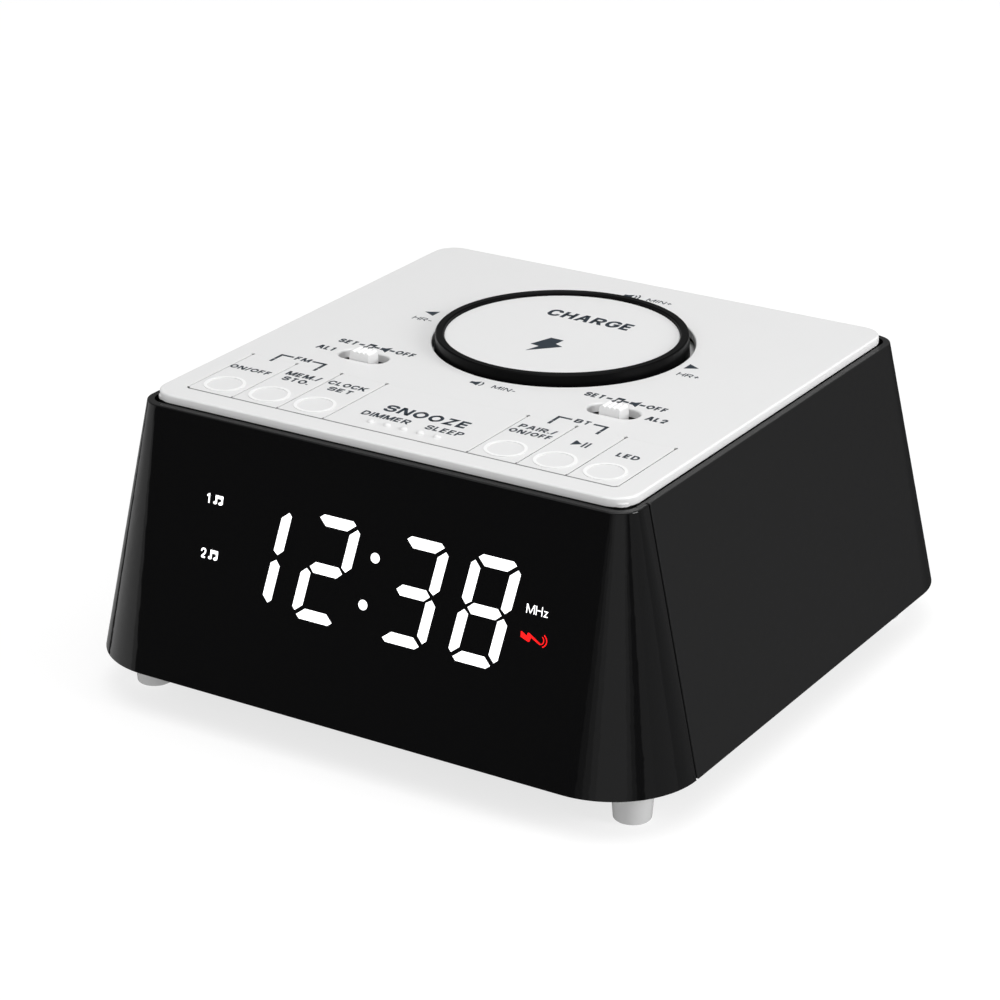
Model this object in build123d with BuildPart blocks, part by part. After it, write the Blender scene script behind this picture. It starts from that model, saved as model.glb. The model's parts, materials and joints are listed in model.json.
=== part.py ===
"""Clock radio with a rocking wireless charging pad on its lid.

Frame: millimetres, +Z up, the display faces -Y, +X is to the right.
The origin is on the floor, under the centre of the square housing.
"""

import os
from math import atan2, cos, radians, sin, tan

from build123d import *

# --- Housing: a square frustum on four feet --------------------------------
FOOT_H = 10.3
SHELL_H = 63.4
BASE_Z = FOOT_H
RIM_Z = BASE_Z + SHELL_H
RIM_HALF = 66.5
RIM_R = 5.7
BASE_HALF_X = 80.0
BASE_HALF_Y = 80.25
BASE_R = 22.0
BASE_REAR_R = 20.0
RIM_WALL = 1.7
BASE_WALL = 2.4
EDGE_ROUND = 0.4

# --- Seam between the front cover and the housing shell ---------------------
SEAM_Y = -57.9
SEAM_GAP = 0.5
SEAM_ROUND = 0.3
LAP = 3.0
LAP_CLEARANCE = 0.05

# --- Lid plate ---------------------------------------------------------------
PLATE_TOP = RIM_Z + 2.27
PLATE_T = 1.9
PLATE_UNDER = PLATE_TOP - PLATE_T
PLATE_HALF = 64.45
PLATE_R = 6.0
PLATE_ROUND = 0.5
SKIRT_T = 1.4
SKIRT_STEP = 0.6
SKIRT_LIFT = 0.2
LEDGE_Z = 69.4
LEDGE_T = 1.6
LEDGE_HALF = 59.0
LID_SCREW = 61.2
BOSS_R = 2.4
PILOT_R = 0.8
SCREW_HOLE_R = 1.1

# --- Keys: seven tabs cut into the lid, hinged at their back edge -------------
KEY_FRONT = -58.3
KEY_BACK = -31.5
KEY_SIDE = 58.3
KEY_SPLITS = (19.55, 32.45, 45.4)
SLIT = 0.3
KEY_BEVEL = 0.12
HINGE_GAP = 0.02
HINGE_DRAFT = 0.3
RELIEF_R = 0.5
KEY_CORNER_R = 1.2
KEY_RING_Y = -51.75
KEY_RING_R = 4.6
KEY_RING_W = 0.75
KEY_RING_H = 0.12
DOT_Y = -53.9
DOT_PITCH = 4.5
DOT_R = 1.0
DOT_H = 0.65
KEY_POST_Y = -50.0

# --- Sliding switches ----------------------------------------------------------
POCKET_X = 34.8
POCKET_Y = -18.65
POCKET_L = 13.2
POCKET_W = 6.8
POCKET_DEPTH = 2.4
POCKET_FLOOR = 0.9
POCKET_ROUND = 0.5
KNOB_L = 5.4
KNOB_W = 4.5
KNOB_PROUD = 1.55
KNOB_SLOPE = 0.45
KNOB_RIBS = 4
RIB_DEPTH = 0.5
KNOB_TRAVEL = 3.0
STEM = 1.8

# --- Charging pad: a disc in a ring, rocking on a gimbal --------------------------
PAD_Y = 16.3
DISC_R = 28.85
DISC_TOP = PLATE_TOP + 1.6
DISC_T = 2.0
RING_R = 31.0
RING_TOP = DISC_TOP + 0.85
RING_BEVEL = 0.3
RING_DRAFT = 3.0
DISC_LIP = 1.4
RING_FOOT = 72.2
HOLE_R = 32.25
HOLE_X = 0.45
HOLE_ROUND = 0.35
FLANGE_R = 33.6
FLANGE_T = 2.0
PIVOT_Z = 67.0
GIMBAL_IN = 16.0
GIMBAL_OUT = 20.0
GIMBAL_H = 3.6
PIN_R = 1.0
PIN_CLEARANCE = 0.05
DECK_Z = 60.0
DECK_T = 2.0
DECK_R = 37.0
PAD_BOSS_R = 38.5

# --- Display behind the front cover ---------------------------------------------
FRONT_TILT = atan2(BASE_HALF_Y - RIM_HALF, SHELL_H)
DIGIT_W = 12.9
DIGIT_H = 25.45
DIGIT_TOP = 15.85
SEGMENT_T = 2.6
BAR_TIP = 1.5
BAR_EDGE = 2.5
TIP_DROP = 0.85
POST_TIP = 1.7
POST_EDGE = 2.5
MIDDLE_TIP = 0.6
DIGIT_SLANT = radians(9.3)
DIGIT_LEFTS = (-36.65, -17.8, 5.95, 24.85)
COLON_DOTS = ((3.55, 22.9), (1.6, 34.3))
COLON_R = 1.2
CASE_X = 3.0
CASE_S = 28.5
CASE_L = 104.0
CASE_W = 36.0
CASE_FRONT = -3.0
CASE_DEPTH = 8.0

# --- Boards and sockets -----------------------------------------------------------
BOARD_T = 1.6
KEY_BOARD_Z = 66.5
MAIN_BOARD_Z = 18.0
PORT_Z = 24.0
PORT_PANEL_Y = 72.2
PORT_PANEL_T = 1.6
RECESS_HALF = 33.0
RECESS_H = 14.0
DC_X = -22.0
USB_X = 0.0
AUX_X = 20.0
DC_BORE_R = 3.15
DC_PIN_R = 1.0
AUX_BORE_R = 1.8
USB_OPEN_W = 12.5
USB_OPEN_H = 5.1

# --- Base ---------------------------------------------------------------------------
FLOOR_Z = 10.9
FLOOR_T = 2.2
FOOT_X = 66.9
FOOT_Y = 63.8
FOOT_TOP_R = 5.25
FOOT_LOW_R = 4.4
FOOT_STUD_R = 3.0
SPEAKER_R = 33.0
CELL_X = 50.0
CELL_Y = 28.0
CELL_R = 10.0
CELL_T = 3.2

FLOOR_TOP = FLOOR_Z + FLOOR_T
MAIN_BOARD_TOP = MAIN_BOARD_Z + BOARD_T
BASE_SCREWS = [(x, y) for x in (-70.0, 70.0) for y in (-44.0, 44.0)]
LID_SCREWS = [(x, y) for x in (-LID_SCREW, LID_SCREW) for y in (-LID_SCREW, LID_SCREW)]
KEY_BOARD_SCREWS = [(-52.0, -26.0), (-15.0, -26.0), (15.0, -26.0), (52.0, -26.0)]
PAD_SCREWS = [
    (sx * PAD_BOSS_R * cos(radians(45)), PAD_Y + sy * PAD_BOSS_R * sin(radians(45)))
    for sx in (-1, 1)
    for sy in (-1, 1)
]
BRACKET_SCREWS = [(x, s) for x in (-58.7, 58.7) for s in (-12.0, -44.0)]
MAIN_BOARD_SCREWS = [(-56.0, 47.0), (56.0, 47.0), (-56.0, 64.0), (56.0, 64.0)]
CHARGER_SCREWS = [(-62.0, -24.0), (-44.0, 24.0)]
SPEAKER_SCREWS = [(x, y) for x in (-26.5, 26.5) for y in (-26.5, 26.5)]
KEY_EDGES = sorted([-KEY_SIDE, KEY_SIDE, *KEY_SPLITS, *(-x for x in KEY_SPLITS)])
KEY_NAMES = (
    "key_power",
    "key_memory",
    "key_clock_set",
    "key_snooze",
    "key_pair",
    "key_play",
    "key_light",
)

pieces = {}


def keep(name, builder):
    """Label a finished piece and note it for export."""
    builder.part.label = name
    pieces[name] = builder.part


def front_plane(depth=0.0):
    """The front cover's outer face, x right and y up the slope, moved out by depth."""
    face = Plane(
        origin=(0, -RIM_HALF, RIM_Z),
        x_dir=(1, 0, 0),
        z_dir=(0, -cos(FRONT_TILT), sin(FRONT_TILT)),
    )
    return face.offset(depth)


def housing_outline(half_x, half_y, front_r, rear_r):
    """A rectangle whose front and rear corners have their own radii."""
    with BuildSketch() as outline:
        Rectangle(2 * half_x, 2 * half_y)
        fillet(outline.vertices().group_by(Axis.Y)[0], front_r)
        fillet(outline.vertices().group_by(Axis.Y)[-1], rear_r)
    return outline.sketch


def frustum(inset_rim, inset_base, rim_round=0.0):
    """The housing's solid outline, drawn in from its outer faces."""
    base_x = BASE_HALF_X - inset_base
    base_y = BASE_HALF_Y - inset_base
    rim_half = RIM_HALF - inset_rim
    rim_r = RIM_R - inset_rim
    with BuildPart() as body:
        with BuildSketch(Plane.XY.offset(BASE_Z)):
            add(housing_outline(base_x, base_y, BASE_R - inset_base, BASE_REAR_R - inset_base))
        with BuildSketch(Plane.XY.offset(RIM_Z)):
            add(housing_outline(rim_half, rim_half, rim_r, rim_r))
        loft(ruled=True)
        if rim_round:
            fillet(body.edges().group_by(Axis.Z)[-1], rim_round)
    return body.part


def slab(x_low, x_high, y_low, y_high, z_low, z_high):
    """A plain block between two corners."""
    with BuildPart() as block:
        with BuildSketch(Plane.XY.offset(z_low)):
            with Locations(((x_low + x_high) / 2, (y_low + y_high) / 2)):
                Rectangle(x_high - x_low, y_high - y_low)
        extrude(amount=z_high - z_low)
    return block.part


def columns(places, radius, z_low, z_high, plane=Plane.XY):
    """Upright round columns, or round holes when subtracted."""
    with BuildPart() as group:
        with BuildSketch(plane.offset(z_low)):
            with Locations(*places):
                Circle(radius)
        extrude(amount=z_high - z_low)
    return group.part


def screws(places, head_low, head_t, shank_end, head_r, shank_r, plane=Plane.XY):
    """Pan-head screws driven along the plane's normal, heads first."""
    with BuildPart() as group:
        with BuildSketch(plane.offset(head_low)):
            with Locations(*places):
                Circle(head_r)
        extrude(amount=head_t)
        with BuildSketch(plane.offset(head_low + head_t)):
            with Locations(*places):
                Circle(shank_r)
        extrude(amount=shank_end - head_low - head_t)
        with BuildSketch(plane.offset(head_low)):
            with Locations(*places):
                Rectangle(1.2 * head_r, 0.25 * head_r)
                Rectangle(0.25 * head_r, 1.2 * head_r)
        extrude(amount=0.5 * head_t, mode=Mode.SUBTRACT)
    return group


FAR = 200.0
outer_body = frustum(0, 0, EDGE_ROUND)
middle_body = frustum(RIM_WALL / 2, BASE_WALL / 2)
tongue_body = frustum(RIM_WALL / 2 + LAP_CLEARANCE, BASE_WALL / 2 + LAP_CLEARANCE)
inner_body = frustum(RIM_WALL, BASE_WALL)


# --- Front cover: the tinted gloss front that wraps round both corners -----------
COVER_BACK = SEAM_Y - SEAM_GAP / 2
LAP_END = COVER_BACK - LAP

with BuildPart() as lap_room:
    add(middle_body)
    add(slab(-FAR, FAR, -FAR, LAP_END, -1, FAR), mode=Mode.SUBTRACT)

with BuildPart() as front_bosses:
    add(columns(BRACKET_SCREWS, 2.6, -5.0, -1.0, front_plane()))
    add(outer_body, mode=Mode.INTERSECT)

with BuildPart() as front_ledge:
    add(inner_body)
    add(slab(-FAR, FAR, -FAR, LAP_END - 0.2, LEDGE_Z, LEDGE_Z + LEDGE_T), mode=Mode.INTERSECT)
    add(slab(-LEDGE_HALF, LEDGE_HALF, -LEDGE_HALF, FAR, 0, FAR), mode=Mode.SUBTRACT)

with BuildPart() as front_cover:
    add(outer_body)
    add(slab(-FAR, FAR, COVER_BACK, FAR, -1, FAR), mode=Mode.SUBTRACT)
    add(inner_body, mode=Mode.SUBTRACT)
    add(lap_room.part, mode=Mode.SUBTRACT)
    fillet(front_cover.faces().group_by(Axis.Y)[-1].edges(), SEAM_ROUND)
    add(front_bosses.part)
    add(columns(BRACKET_SCREWS, PILOT_R, -5.1, -2.4, front_plane()), mode=Mode.SUBTRACT)
    add(front_ledge.part)
    add(columns(LID_SCREWS, SCREW_HOLE_R, LEDGE_Z - 1, LEDGE_Z + LEDGE_T + 1), mode=Mode.SUBTRACT)
keep("front_cover", front_cover)


# --- Housing shell: sides and back in one moulding, with the tongue of the lap ------
with BuildPart() as shell_ledge:
    add(inner_body)
    add(slab(-FAR, FAR, LAP_END + 0.1, FAR, LEDGE_Z, LEDGE_Z + LEDGE_T), mode=Mode.INTERSECT)
    add(slab(-LEDGE_HALF, LEDGE_HALF, -FAR, LEDGE_HALF, 0, FAR), mode=Mode.SUBTRACT)

with BuildPart() as tongue:
    add(tongue_body)
    add(slab(-FAR, FAR, LAP_END + 0.1, SEAM_Y + 2, -1, FAR), mode=Mode.INTERSECT)
    add(inner_body, mode=Mode.SUBTRACT)

with BuildPart() as shell_extras:
    add(columns(BASE_SCREWS, 3.6, FLOOR_TOP, 46.0))
    add(
        slab(-RECESS_HALF - 2, RECESS_HALF + 2, PORT_PANEL_Y - PORT_PANEL_T, FAR / 2,
             PORT_Z - RECESS_H / 2 - 1.6, PORT_Z + RECESS_H / 2 + 1.6)
    )
    add(outer_body, mode=Mode.INTERSECT)

with BuildPart() as housing_shell:
    add(outer_body)
    add(slab(-FAR, FAR, -FAR, SEAM_Y + SEAM_GAP / 2, -1, FAR), mode=Mode.SUBTRACT)
    add(inner_body, mode=Mode.SUBTRACT)
    fillet(housing_shell.faces().group_by(Axis.Y)[0].edges(), SEAM_ROUND)
    add(tongue.part)
    add(shell_ledge.part)
    add(shell_extras.part)
    add(columns(BASE_SCREWS, 1.2, FLOOR_TOP - 1, 32.0), mode=Mode.SUBTRACT)
    add(columns(LID_SCREWS, SCREW_HOLE_R, LEDGE_Z - 1, LEDGE_Z + LEDGE_T + 1), mode=Mode.SUBTRACT)
    add(
        slab(-RECESS_HALF, RECESS_HALF, PORT_PANEL_Y, FAR / 2,
             PORT_Z - RECESS_H / 2, PORT_Z + RECESS_H / 2),
        mode=Mode.SUBTRACT,
    )
    with BuildSketch(Plane.XZ.offset(-FAR / 2)):
        with Locations((DC_X, PORT_Z)):
            Circle(4.3)
        with Locations((AUX_X, PORT_Z)):
            Circle(3.2)
        with Locations((USB_X, PORT_Z)):
            Rectangle(USB_OPEN_W + 1.4, USB_OPEN_H + 1.4)
    extrude(amount=FAR / 2 - 60, mode=Mode.SUBTRACT)
keep("housing_shell", housing_shell)


# --- Lid plate -------------------------------------------------------------------
def key_field(grow):
    """The rectangle that the seven keys share, with rounded front corners."""
    side = KEY_SIDE + grow
    front = KEY_FRONT - grow
    with BuildSketch() as field:
        with BuildLine():
            sides_and_front = FilletPolyline(
                (-side, KEY_BACK), (-side, front), (side, front), (side, KEY_BACK),
                radius=KEY_CORNER_R,
            )
            Line(sides_and_front @ 1, sides_and_front @ 0)
        make_face()
    return field.sketch


with BuildPart() as top_plate:
    with BuildSketch(Plane.XY.offset(LEDGE_Z + LEDGE_T)):
        RectangleRounded(2 * PLATE_HALF, 2 * PLATE_HALF, PLATE_R)
    extrude(amount=PLATE_TOP - LEDGE_Z - LEDGE_T)
    fillet(top_plate.edges().group_by(Axis.Z)[-1], PLATE_ROUND)
    with BuildSketch(Plane.XY.offset(LEDGE_Z + LEDGE_T)):
        RectangleRounded(
            2 * (PLATE_HALF - SKIRT_T), 2 * (PLATE_HALF - SKIRT_T), PLATE_R - SKIRT_T
        )
    extrude(amount=PLATE_UNDER - LEDGE_Z - LEDGE_T, mode=Mode.SUBTRACT)
    with BuildSketch(Plane.XY.offset(LEDGE_Z + LEDGE_T)):
        RectangleRounded(2 * PLATE_HALF + 1, 2 * PLATE_HALF + 1, PLATE_R)
        RectangleRounded(
            2 * (PLATE_HALF - SKIRT_STEP), 2 * (PLATE_HALF - SKIRT_STEP), PLATE_R - SKIRT_STEP,
            mode=Mode.SUBTRACT,
        )
    extrude(amount=RIM_Z + SKIRT_LIFT - LEDGE_Z - LEDGE_T, mode=Mode.SUBTRACT)
    add(columns(LID_SCREWS, BOSS_R, LEDGE_Z + LEDGE_T, PLATE_UNDER + 0.5))
    add(columns(KEY_BOARD_SCREWS, BOSS_R, KEY_BOARD_Z + BOARD_T, PLATE_UNDER + 0.5))
    add(columns(PAD_SCREWS, 2.2, DECK_Z + DECK_T, PLATE_UNDER + 0.5))
    with BuildSketch(Plane.XY.offset(PLATE_TOP - POCKET_DEPTH - POCKET_FLOOR)):
        with Locations((-POCKET_X, POCKET_Y), (POCKET_X, POCKET_Y)):
            RectangleRounded(POCKET_L + 2.4, POCKET_W + 2.4, POCKET_W / 2 + 1)
    extrude(amount=POCKET_DEPTH)
    with BuildSketch(Plane.XY.offset(PLATE_TOP - POCKET_DEPTH)):
        with Locations((-POCKET_X, POCKET_Y), (POCKET_X, POCKET_Y)):
            RectangleRounded(POCKET_L, POCKET_W, POCKET_W / 2 - 0.1)
    extrude(amount=POCKET_DEPTH, mode=Mode.SUBTRACT)
    pocket_rims = [
        edge
        for edge in top_plate.edges().group_by(Axis.Z)[-1]
        if abs(edge.center().Y - POCKET_Y) < POCKET_W
    ]
    fillet(pocket_rims, POCKET_ROUND)
    with BuildSketch(Plane.XY.offset(PLATE_UNDER - 4)):
        with Locations((HOLE_X, PAD_Y)):
            Circle(HOLE_R)
    extrude(amount=PLATE_TOP - PLATE_UNDER + 4, mode=Mode.SUBTRACT)
    hole_rim = top_plate.edges().filter_by(GeomType.CIRCLE).filter_by(lambda edge: edge.radius == HOLE_R)
    fillet(hole_rim.sort_by(Axis.Z)[-1], HOLE_ROUND)
    with BuildSketch(Plane.XY.offset(PLATE_UNDER - 4)):
        with Locations((-POCKET_X, POCKET_Y), (POCKET_X, POCKET_Y)):
            Rectangle(2 * KNOB_TRAVEL + STEM + 0.8, STEM + 0.6)
    extrude(amount=PLATE_T + 4, mode=Mode.SUBTRACT)
    with BuildSketch(Plane.XY.offset(PLATE_UNDER - 1)):
        add(key_field(SLIT / 2))
    extrude(amount=PLATE_T + 2, mode=Mode.SUBTRACT)
    field_rims = [
        edge
        for edge in top_plate.edges().group_by(Axis.Z)[-1]
        if abs(edge.center().X) < KEY_SIDE + 1 and KEY_FRONT - 1 < edge.center().Y < KEY_BACK - 1
    ]
    chamfer(field_rims, KEY_BEVEL)
    add(
        columns([(x, KEY_BACK) for x in KEY_EDGES], RELIEF_R, PLATE_UNDER - 1, PLATE_TOP + 1),
        mode=Mode.SUBTRACT,
    )
    add(columns(LID_SCREWS, PILOT_R, LEDGE_Z, PLATE_UNDER), mode=Mode.SUBTRACT)
    add(columns(KEY_BOARD_SCREWS, PILOT_R, KEY_BOARD_Z, PLATE_UNDER), mode=Mode.SUBTRACT)
    add(columns(PAD_SCREWS, PILOT_R, DECK_Z, PLATE_UNDER - 4), mode=Mode.SUBTRACT)
keep("top_plate", top_plate)


def draft_cut(x_low, x_high):
    """Wedge behind a key: a hairline at the lid's face, opening towards the underside."""
    with BuildPart() as wedge:
        with BuildSketch(Plane.YZ.offset(x_low)):
            with BuildLine():
                Polyline(
                    (KEY_BACK + 1, PLATE_TOP + 0.01),
                    (KEY_BACK - HINGE_GAP, PLATE_TOP + 0.01),
                    (KEY_BACK - HINGE_GAP - HINGE_DRAFT, PLATE_UNDER - 0.01),
                    (KEY_BACK + 1, PLATE_UNDER - 0.01),
                    close=True,
                )
            make_face()
        extrude(amount=x_high - x_low)
    return wedge.part


def dome_caps(places, radius, height):
    """Low domes standing on the lid's face, each a slice of a ball."""
    ball_r = (radius**2 + height**2) / (2 * height)
    with BuildPart() as caps:
        with Locations(*[(x, y, PLATE_TOP + height - ball_r) for x, y in places]):
            Sphere(ball_r)
        add(slab(-FAR, FAR, -FAR, FAR, PLATE_TOP - 0.05, FAR), mode=Mode.INTERSECT)
    return caps.part


# --- Keys ---------------------------------------------------------------------------
key_space = key_field(-SLIT / 2)
for index, name in enumerate(KEY_NAMES):
    left = KEY_EDGES[index] + SLIT / 2
    right = KEY_EDGES[index + 1] - SLIT / 2
    middle = (left + right) / 2
    with BuildPart() as key:
        with BuildSketch(Plane.XY.offset(PLATE_UNDER)):
            add(key_space)
            with Locations((middle, 0)):
                Rectangle(right - left, 4 * KEY_SIDE, mode=Mode.INTERSECT)
        extrude(amount=PLATE_T)
        add(draft_cut(left - 1, right + 1), mode=Mode.SUBTRACT)
        add(columns([(x, KEY_BACK) for x in KEY_EDGES], RELIEF_R, PLATE_UNDER - 1, PLATE_TOP + 1),
            mode=Mode.SUBTRACT)
        free_rims = key.edges().group_by(Axis.Z)[-1].filter_by(lambda edge: edge.center().Y < KEY_BACK - 1)
        chamfer(free_rims, KEY_BEVEL)
        if name == "key_snooze":
            dots = [(i * DOT_PITCH, DOT_Y) for i in range(-2, 3)]
            add(dome_caps(dots, DOT_R, DOT_H))
        else:
            with BuildSketch(Plane.XY.offset(PLATE_TOP - 0.1)):
                with Locations((middle, KEY_RING_Y)):
                    Circle(KEY_RING_R + KEY_RING_W / 2)
                    Circle(KEY_RING_R - KEY_RING_W / 2, mode=Mode.SUBTRACT)
            extrude(amount=KEY_RING_H + 0.1)
        with BuildSketch(Plane.XY.offset(PLATE_UNDER - 0.9)):
            with Locations((middle, KEY_POST_Y)):
                Circle(1.6)
        extrude(amount=1.2)
    keep(name, key)


# --- Sliding switch knobs -------------------------------------------------------------
KNOB_FLOOR = PLATE_TOP - POCKET_DEPTH
KNOB_TOP = PLATE_TOP + KNOB_PROUD
RIB_PITCH = KNOB_L / KNOB_RIBS
for side, knob_x in (("left", -POCKET_X), ("right", POCKET_X)):
    with BuildPart() as knob:
        with BuildSketch(Plane.XZ.offset(-POCKET_Y - KNOB_W / 2)):
            with BuildLine():
                for rib in range(KNOB_RIBS):
                    rib_left = knob_x - KNOB_L / 2 + rib * RIB_PITCH
                    ThreePointArc(
                        (rib_left, KNOB_TOP - RIB_DEPTH),
                        (rib_left + RIB_PITCH / 2, KNOB_TOP),
                        (rib_left + RIB_PITCH, KNOB_TOP - RIB_DEPTH),
                    )
                Polyline(
                    (knob_x + KNOB_L / 2, KNOB_TOP - RIB_DEPTH),
                    (knob_x + KNOB_L / 2, KNOB_FLOOR + 0.1),
                    (knob_x - KNOB_L / 2, KNOB_FLOOR + 0.1),
                    (knob_x - KNOB_L / 2, KNOB_TOP - RIB_DEPTH),
                )
            make_face()
        extrude(amount=KNOB_W)
        with BuildSketch(Plane.YZ.offset(knob_x - KNOB_L)):
            with BuildLine():
                Polyline(
                    (POCKET_Y - KNOB_W / 2, KNOB_FLOOR),
                    (POCKET_Y - KNOB_W / 2, PLATE_TOP - 0.3),
                    (POCKET_Y - KNOB_W / 2 + KNOB_SLOPE, KNOB_TOP),
                    (POCKET_Y + KNOB_W / 2 - KNOB_SLOPE, KNOB_TOP),
                    (POCKET_Y + KNOB_W / 2, PLATE_TOP - 0.3),
                    (POCKET_Y + KNOB_W / 2, KNOB_FLOOR),
                    close=True,
                )
            make_face()
        extrude(amount=2 * KNOB_L, mode=Mode.INTERSECT)
        with BuildSketch(Plane.XY.offset(KEY_BOARD_Z + BOARD_T + 2.0)):
            with Locations((knob_x, POCKET_Y)):
                Rectangle(STEM, STEM)
        extrude(amount=KNOB_FLOOR + 0.3 - KEY_BOARD_Z - BOARD_T - 2.0)
    keep("slide_knob_" + side, knob)

# --- Charging pad ------------------------------------------------------------------------
RING_FOOT_R = RING_R + (RING_TOP - RING_FOOT) * tan(radians(RING_DRAFT))
with BuildPart() as pad_disc:
    with BuildSketch(Plane.XY.offset(DISC_TOP - DISC_T)):
        with Locations((0, PAD_Y)):
            Circle(DISC_R)
    extrude(amount=DISC_T)
    fillet(pad_disc.edges().group_by(Axis.Z)[-1], 0.3)
keep("pad_disc", pad_disc)

with BuildPart() as pad_ring:
    with BuildSketch(Plane.XZ.offset(-PAD_Y)):
        with BuildLine():
            Polyline(
                (DISC_R - DISC_LIP, RING_FOOT),
                (RING_FOOT_R, RING_FOOT),
                (RING_R, RING_TOP - RING_BEVEL),
                (RING_R - RING_BEVEL, RING_TOP),
                (DISC_R + 0.05 + RING_BEVEL, RING_TOP),
                (DISC_R + 0.05, RING_TOP - RING_BEVEL),
                (DISC_R + 0.05, DISC_TOP - DISC_T),
                (DISC_R - DISC_LIP, DISC_TOP - DISC_T),
                close=True,
            )
        make_face()
    revolve(axis=Axis((0, PAD_Y, 0), (0, 0, 1)))
keep("pad_ring", pad_ring)

with BuildPart() as ferrite_plate:
    with BuildSketch(Plane.XY.offset(RING_FOOT)):
        with Locations((0, PAD_Y)):
            Circle(26.0)
    extrude(amount=0.8)
keep("ferrite_plate", ferrite_plate)

with BuildPart() as charging_coil:
    with BuildSketch(Plane.XY.offset(RING_FOOT + 0.8)):
        with Locations((0, PAD_Y)):
            Circle(25.0)
            Circle(10.5, mode=Mode.SUBTRACT)
    extrude(amount=2.2)
    fillet(charging_coil.edges().filter_by(GeomType.CIRCLE), 0.6)
keep("charging_coil", charging_coil)

EAR_IN = 11.0
EAR_OUT = 14.8
with BuildPart() as pad_carrier:
    with BuildSketch(Plane.XY.offset(RING_FOOT - FLANGE_T)):
        with Locations((0, PAD_Y)):
            Circle(FLANGE_R)
    extrude(amount=FLANGE_T)
    with BuildSketch(Plane.XY.offset(PIVOT_Z - 2.4)):
        for sign in (-1, 1):
            with Locations((0, PAD_Y + sign * (EAR_IN + EAR_OUT) / 2)):
                Rectangle(7.0, EAR_OUT - EAR_IN)
    extrude(amount=RING_FOOT - FLANGE_T - PIVOT_Z + 2.4)
    with BuildSketch(Plane.XZ.offset(-PAD_Y - GIMBAL_OUT)):
        with Locations((0, PIVOT_Z)):
            Circle(PIN_R)
    extrude(amount=2 * GIMBAL_OUT, mode=Mode.SUBTRACT)
keep("pad_carrier", pad_carrier)

with BuildPart() as pad_pins:
    for sign in (-1, 1):
        with BuildSketch(Plane.XZ.offset(-PAD_Y - sign * (EAR_IN + GIMBAL_OUT) / 2 - 4.4)):
            with Locations((0, PIVOT_Z)):
                Circle(PIN_R)
        extrude(amount=8.8)
keep("pad_pins", pad_pins)

with BuildPart() as gimbal_ring:
    with BuildSketch(Plane.XY.offset(PIVOT_Z - GIMBAL_H / 2)):
        with Locations((0, PAD_Y)):
            Circle(GIMBAL_OUT)
            Circle(GIMBAL_IN, mode=Mode.SUBTRACT)
    extrude(amount=GIMBAL_H)
    with BuildSketch(Plane.XZ.offset(-PAD_Y - 2 * GIMBAL_OUT)):
        with Locations((0, PIVOT_Z)):
            Circle(PIN_R + PIN_CLEARANCE)
    extrude(amount=4 * GIMBAL_OUT, mode=Mode.SUBTRACT)
    with BuildSketch(Plane.YZ.offset(-2 * GIMBAL_OUT)):
        with Locations((PAD_Y, PIVOT_Z)):
            Circle(PIN_R + PIN_CLEARANCE)
    extrude(amount=4 * GIMBAL_OUT, mode=Mode.SUBTRACT)
keep("gimbal_ring", gimbal_ring)

POST_IN = 21.0
POST_OUT = 25.8
with BuildPart() as pad_frame:
    with BuildSketch(Plane.XY.offset(DECK_Z)):
        with Locations((0, PAD_Y)):
            Circle(DECK_R)
        with Locations(*PAD_SCREWS):
            Circle(3.4)
        with Locations((0, PAD_Y)):
            Circle(9.0, mode=Mode.SUBTRACT)
    extrude(amount=DECK_T)
    with BuildSketch(Plane.XY.offset(DECK_Z + DECK_T)):
        for sign in (-1, 1):
            with Locations((sign * (POST_IN + POST_OUT) / 2, PAD_Y)):
                Rectangle(POST_OUT - POST_IN, 8.0)
    extrude(amount=PIVOT_Z + 1.8 - DECK_Z - DECK_T)
    with BuildSketch(Plane.YZ.offset(-2 * GIMBAL_OUT)):
        with Locations((PAD_Y, PIVOT_Z)):
            Circle(PIN_R)
    extrude(amount=4 * GIMBAL_OUT, mode=Mode.SUBTRACT)
    add(columns(PAD_SCREWS, SCREW_HOLE_R, DECK_Z - 1, DECK_Z + DECK_T + 1), mode=Mode.SUBTRACT)
keep("pad_frame", pad_frame)

with BuildPart() as frame_pins:
    for sign in (-1, 1):
        with BuildSketch(Plane.YZ.offset(sign * (GIMBAL_IN + POST_OUT) / 2 - 4.6)):
            with Locations((PAD_Y, PIVOT_Z)):
                Circle(PIN_R)
        extrude(amount=9.2)
keep("frame_pins", frame_pins)

with BuildPart() as pad_board:
    with BuildSketch(Plane.XY.offset(DECK_Z + DECK_T)):
        with Locations((0, PAD_Y)):
            Circle(35.0)
            Circle(26.3, mode=Mode.SUBTRACT)
    extrude(amount=BOARD_T)
keep("pad_board", pad_board)


def tact_switches(places, board_top, body_h, plunger_h):
    """Square push switches soldered on a board, plungers up."""
    with BuildPart() as switches:
        with BuildSketch(Plane.XY.offset(board_top)):
            with Locations(*places):
                Rectangle(6.0, 6.0)
        extrude(amount=body_h)
        with BuildSketch(Plane.XY.offset(board_top + body_h)):
            with Locations(*places):
                Circle(1.7)
        extrude(amount=plunger_h)
    return switches


PAD_SWITCH_R = 29.6
pad_switch_places = [
    (PAD_SWITCH_R * cos(radians(t)), PAD_Y + PAD_SWITCH_R * sin(radians(t))) for t in (0, 90, 180, 270)
]
keep("pad_switches", tact_switches(pad_switch_places, DECK_Z + DECK_T + BOARD_T, 4.3, 1.0))

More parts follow.
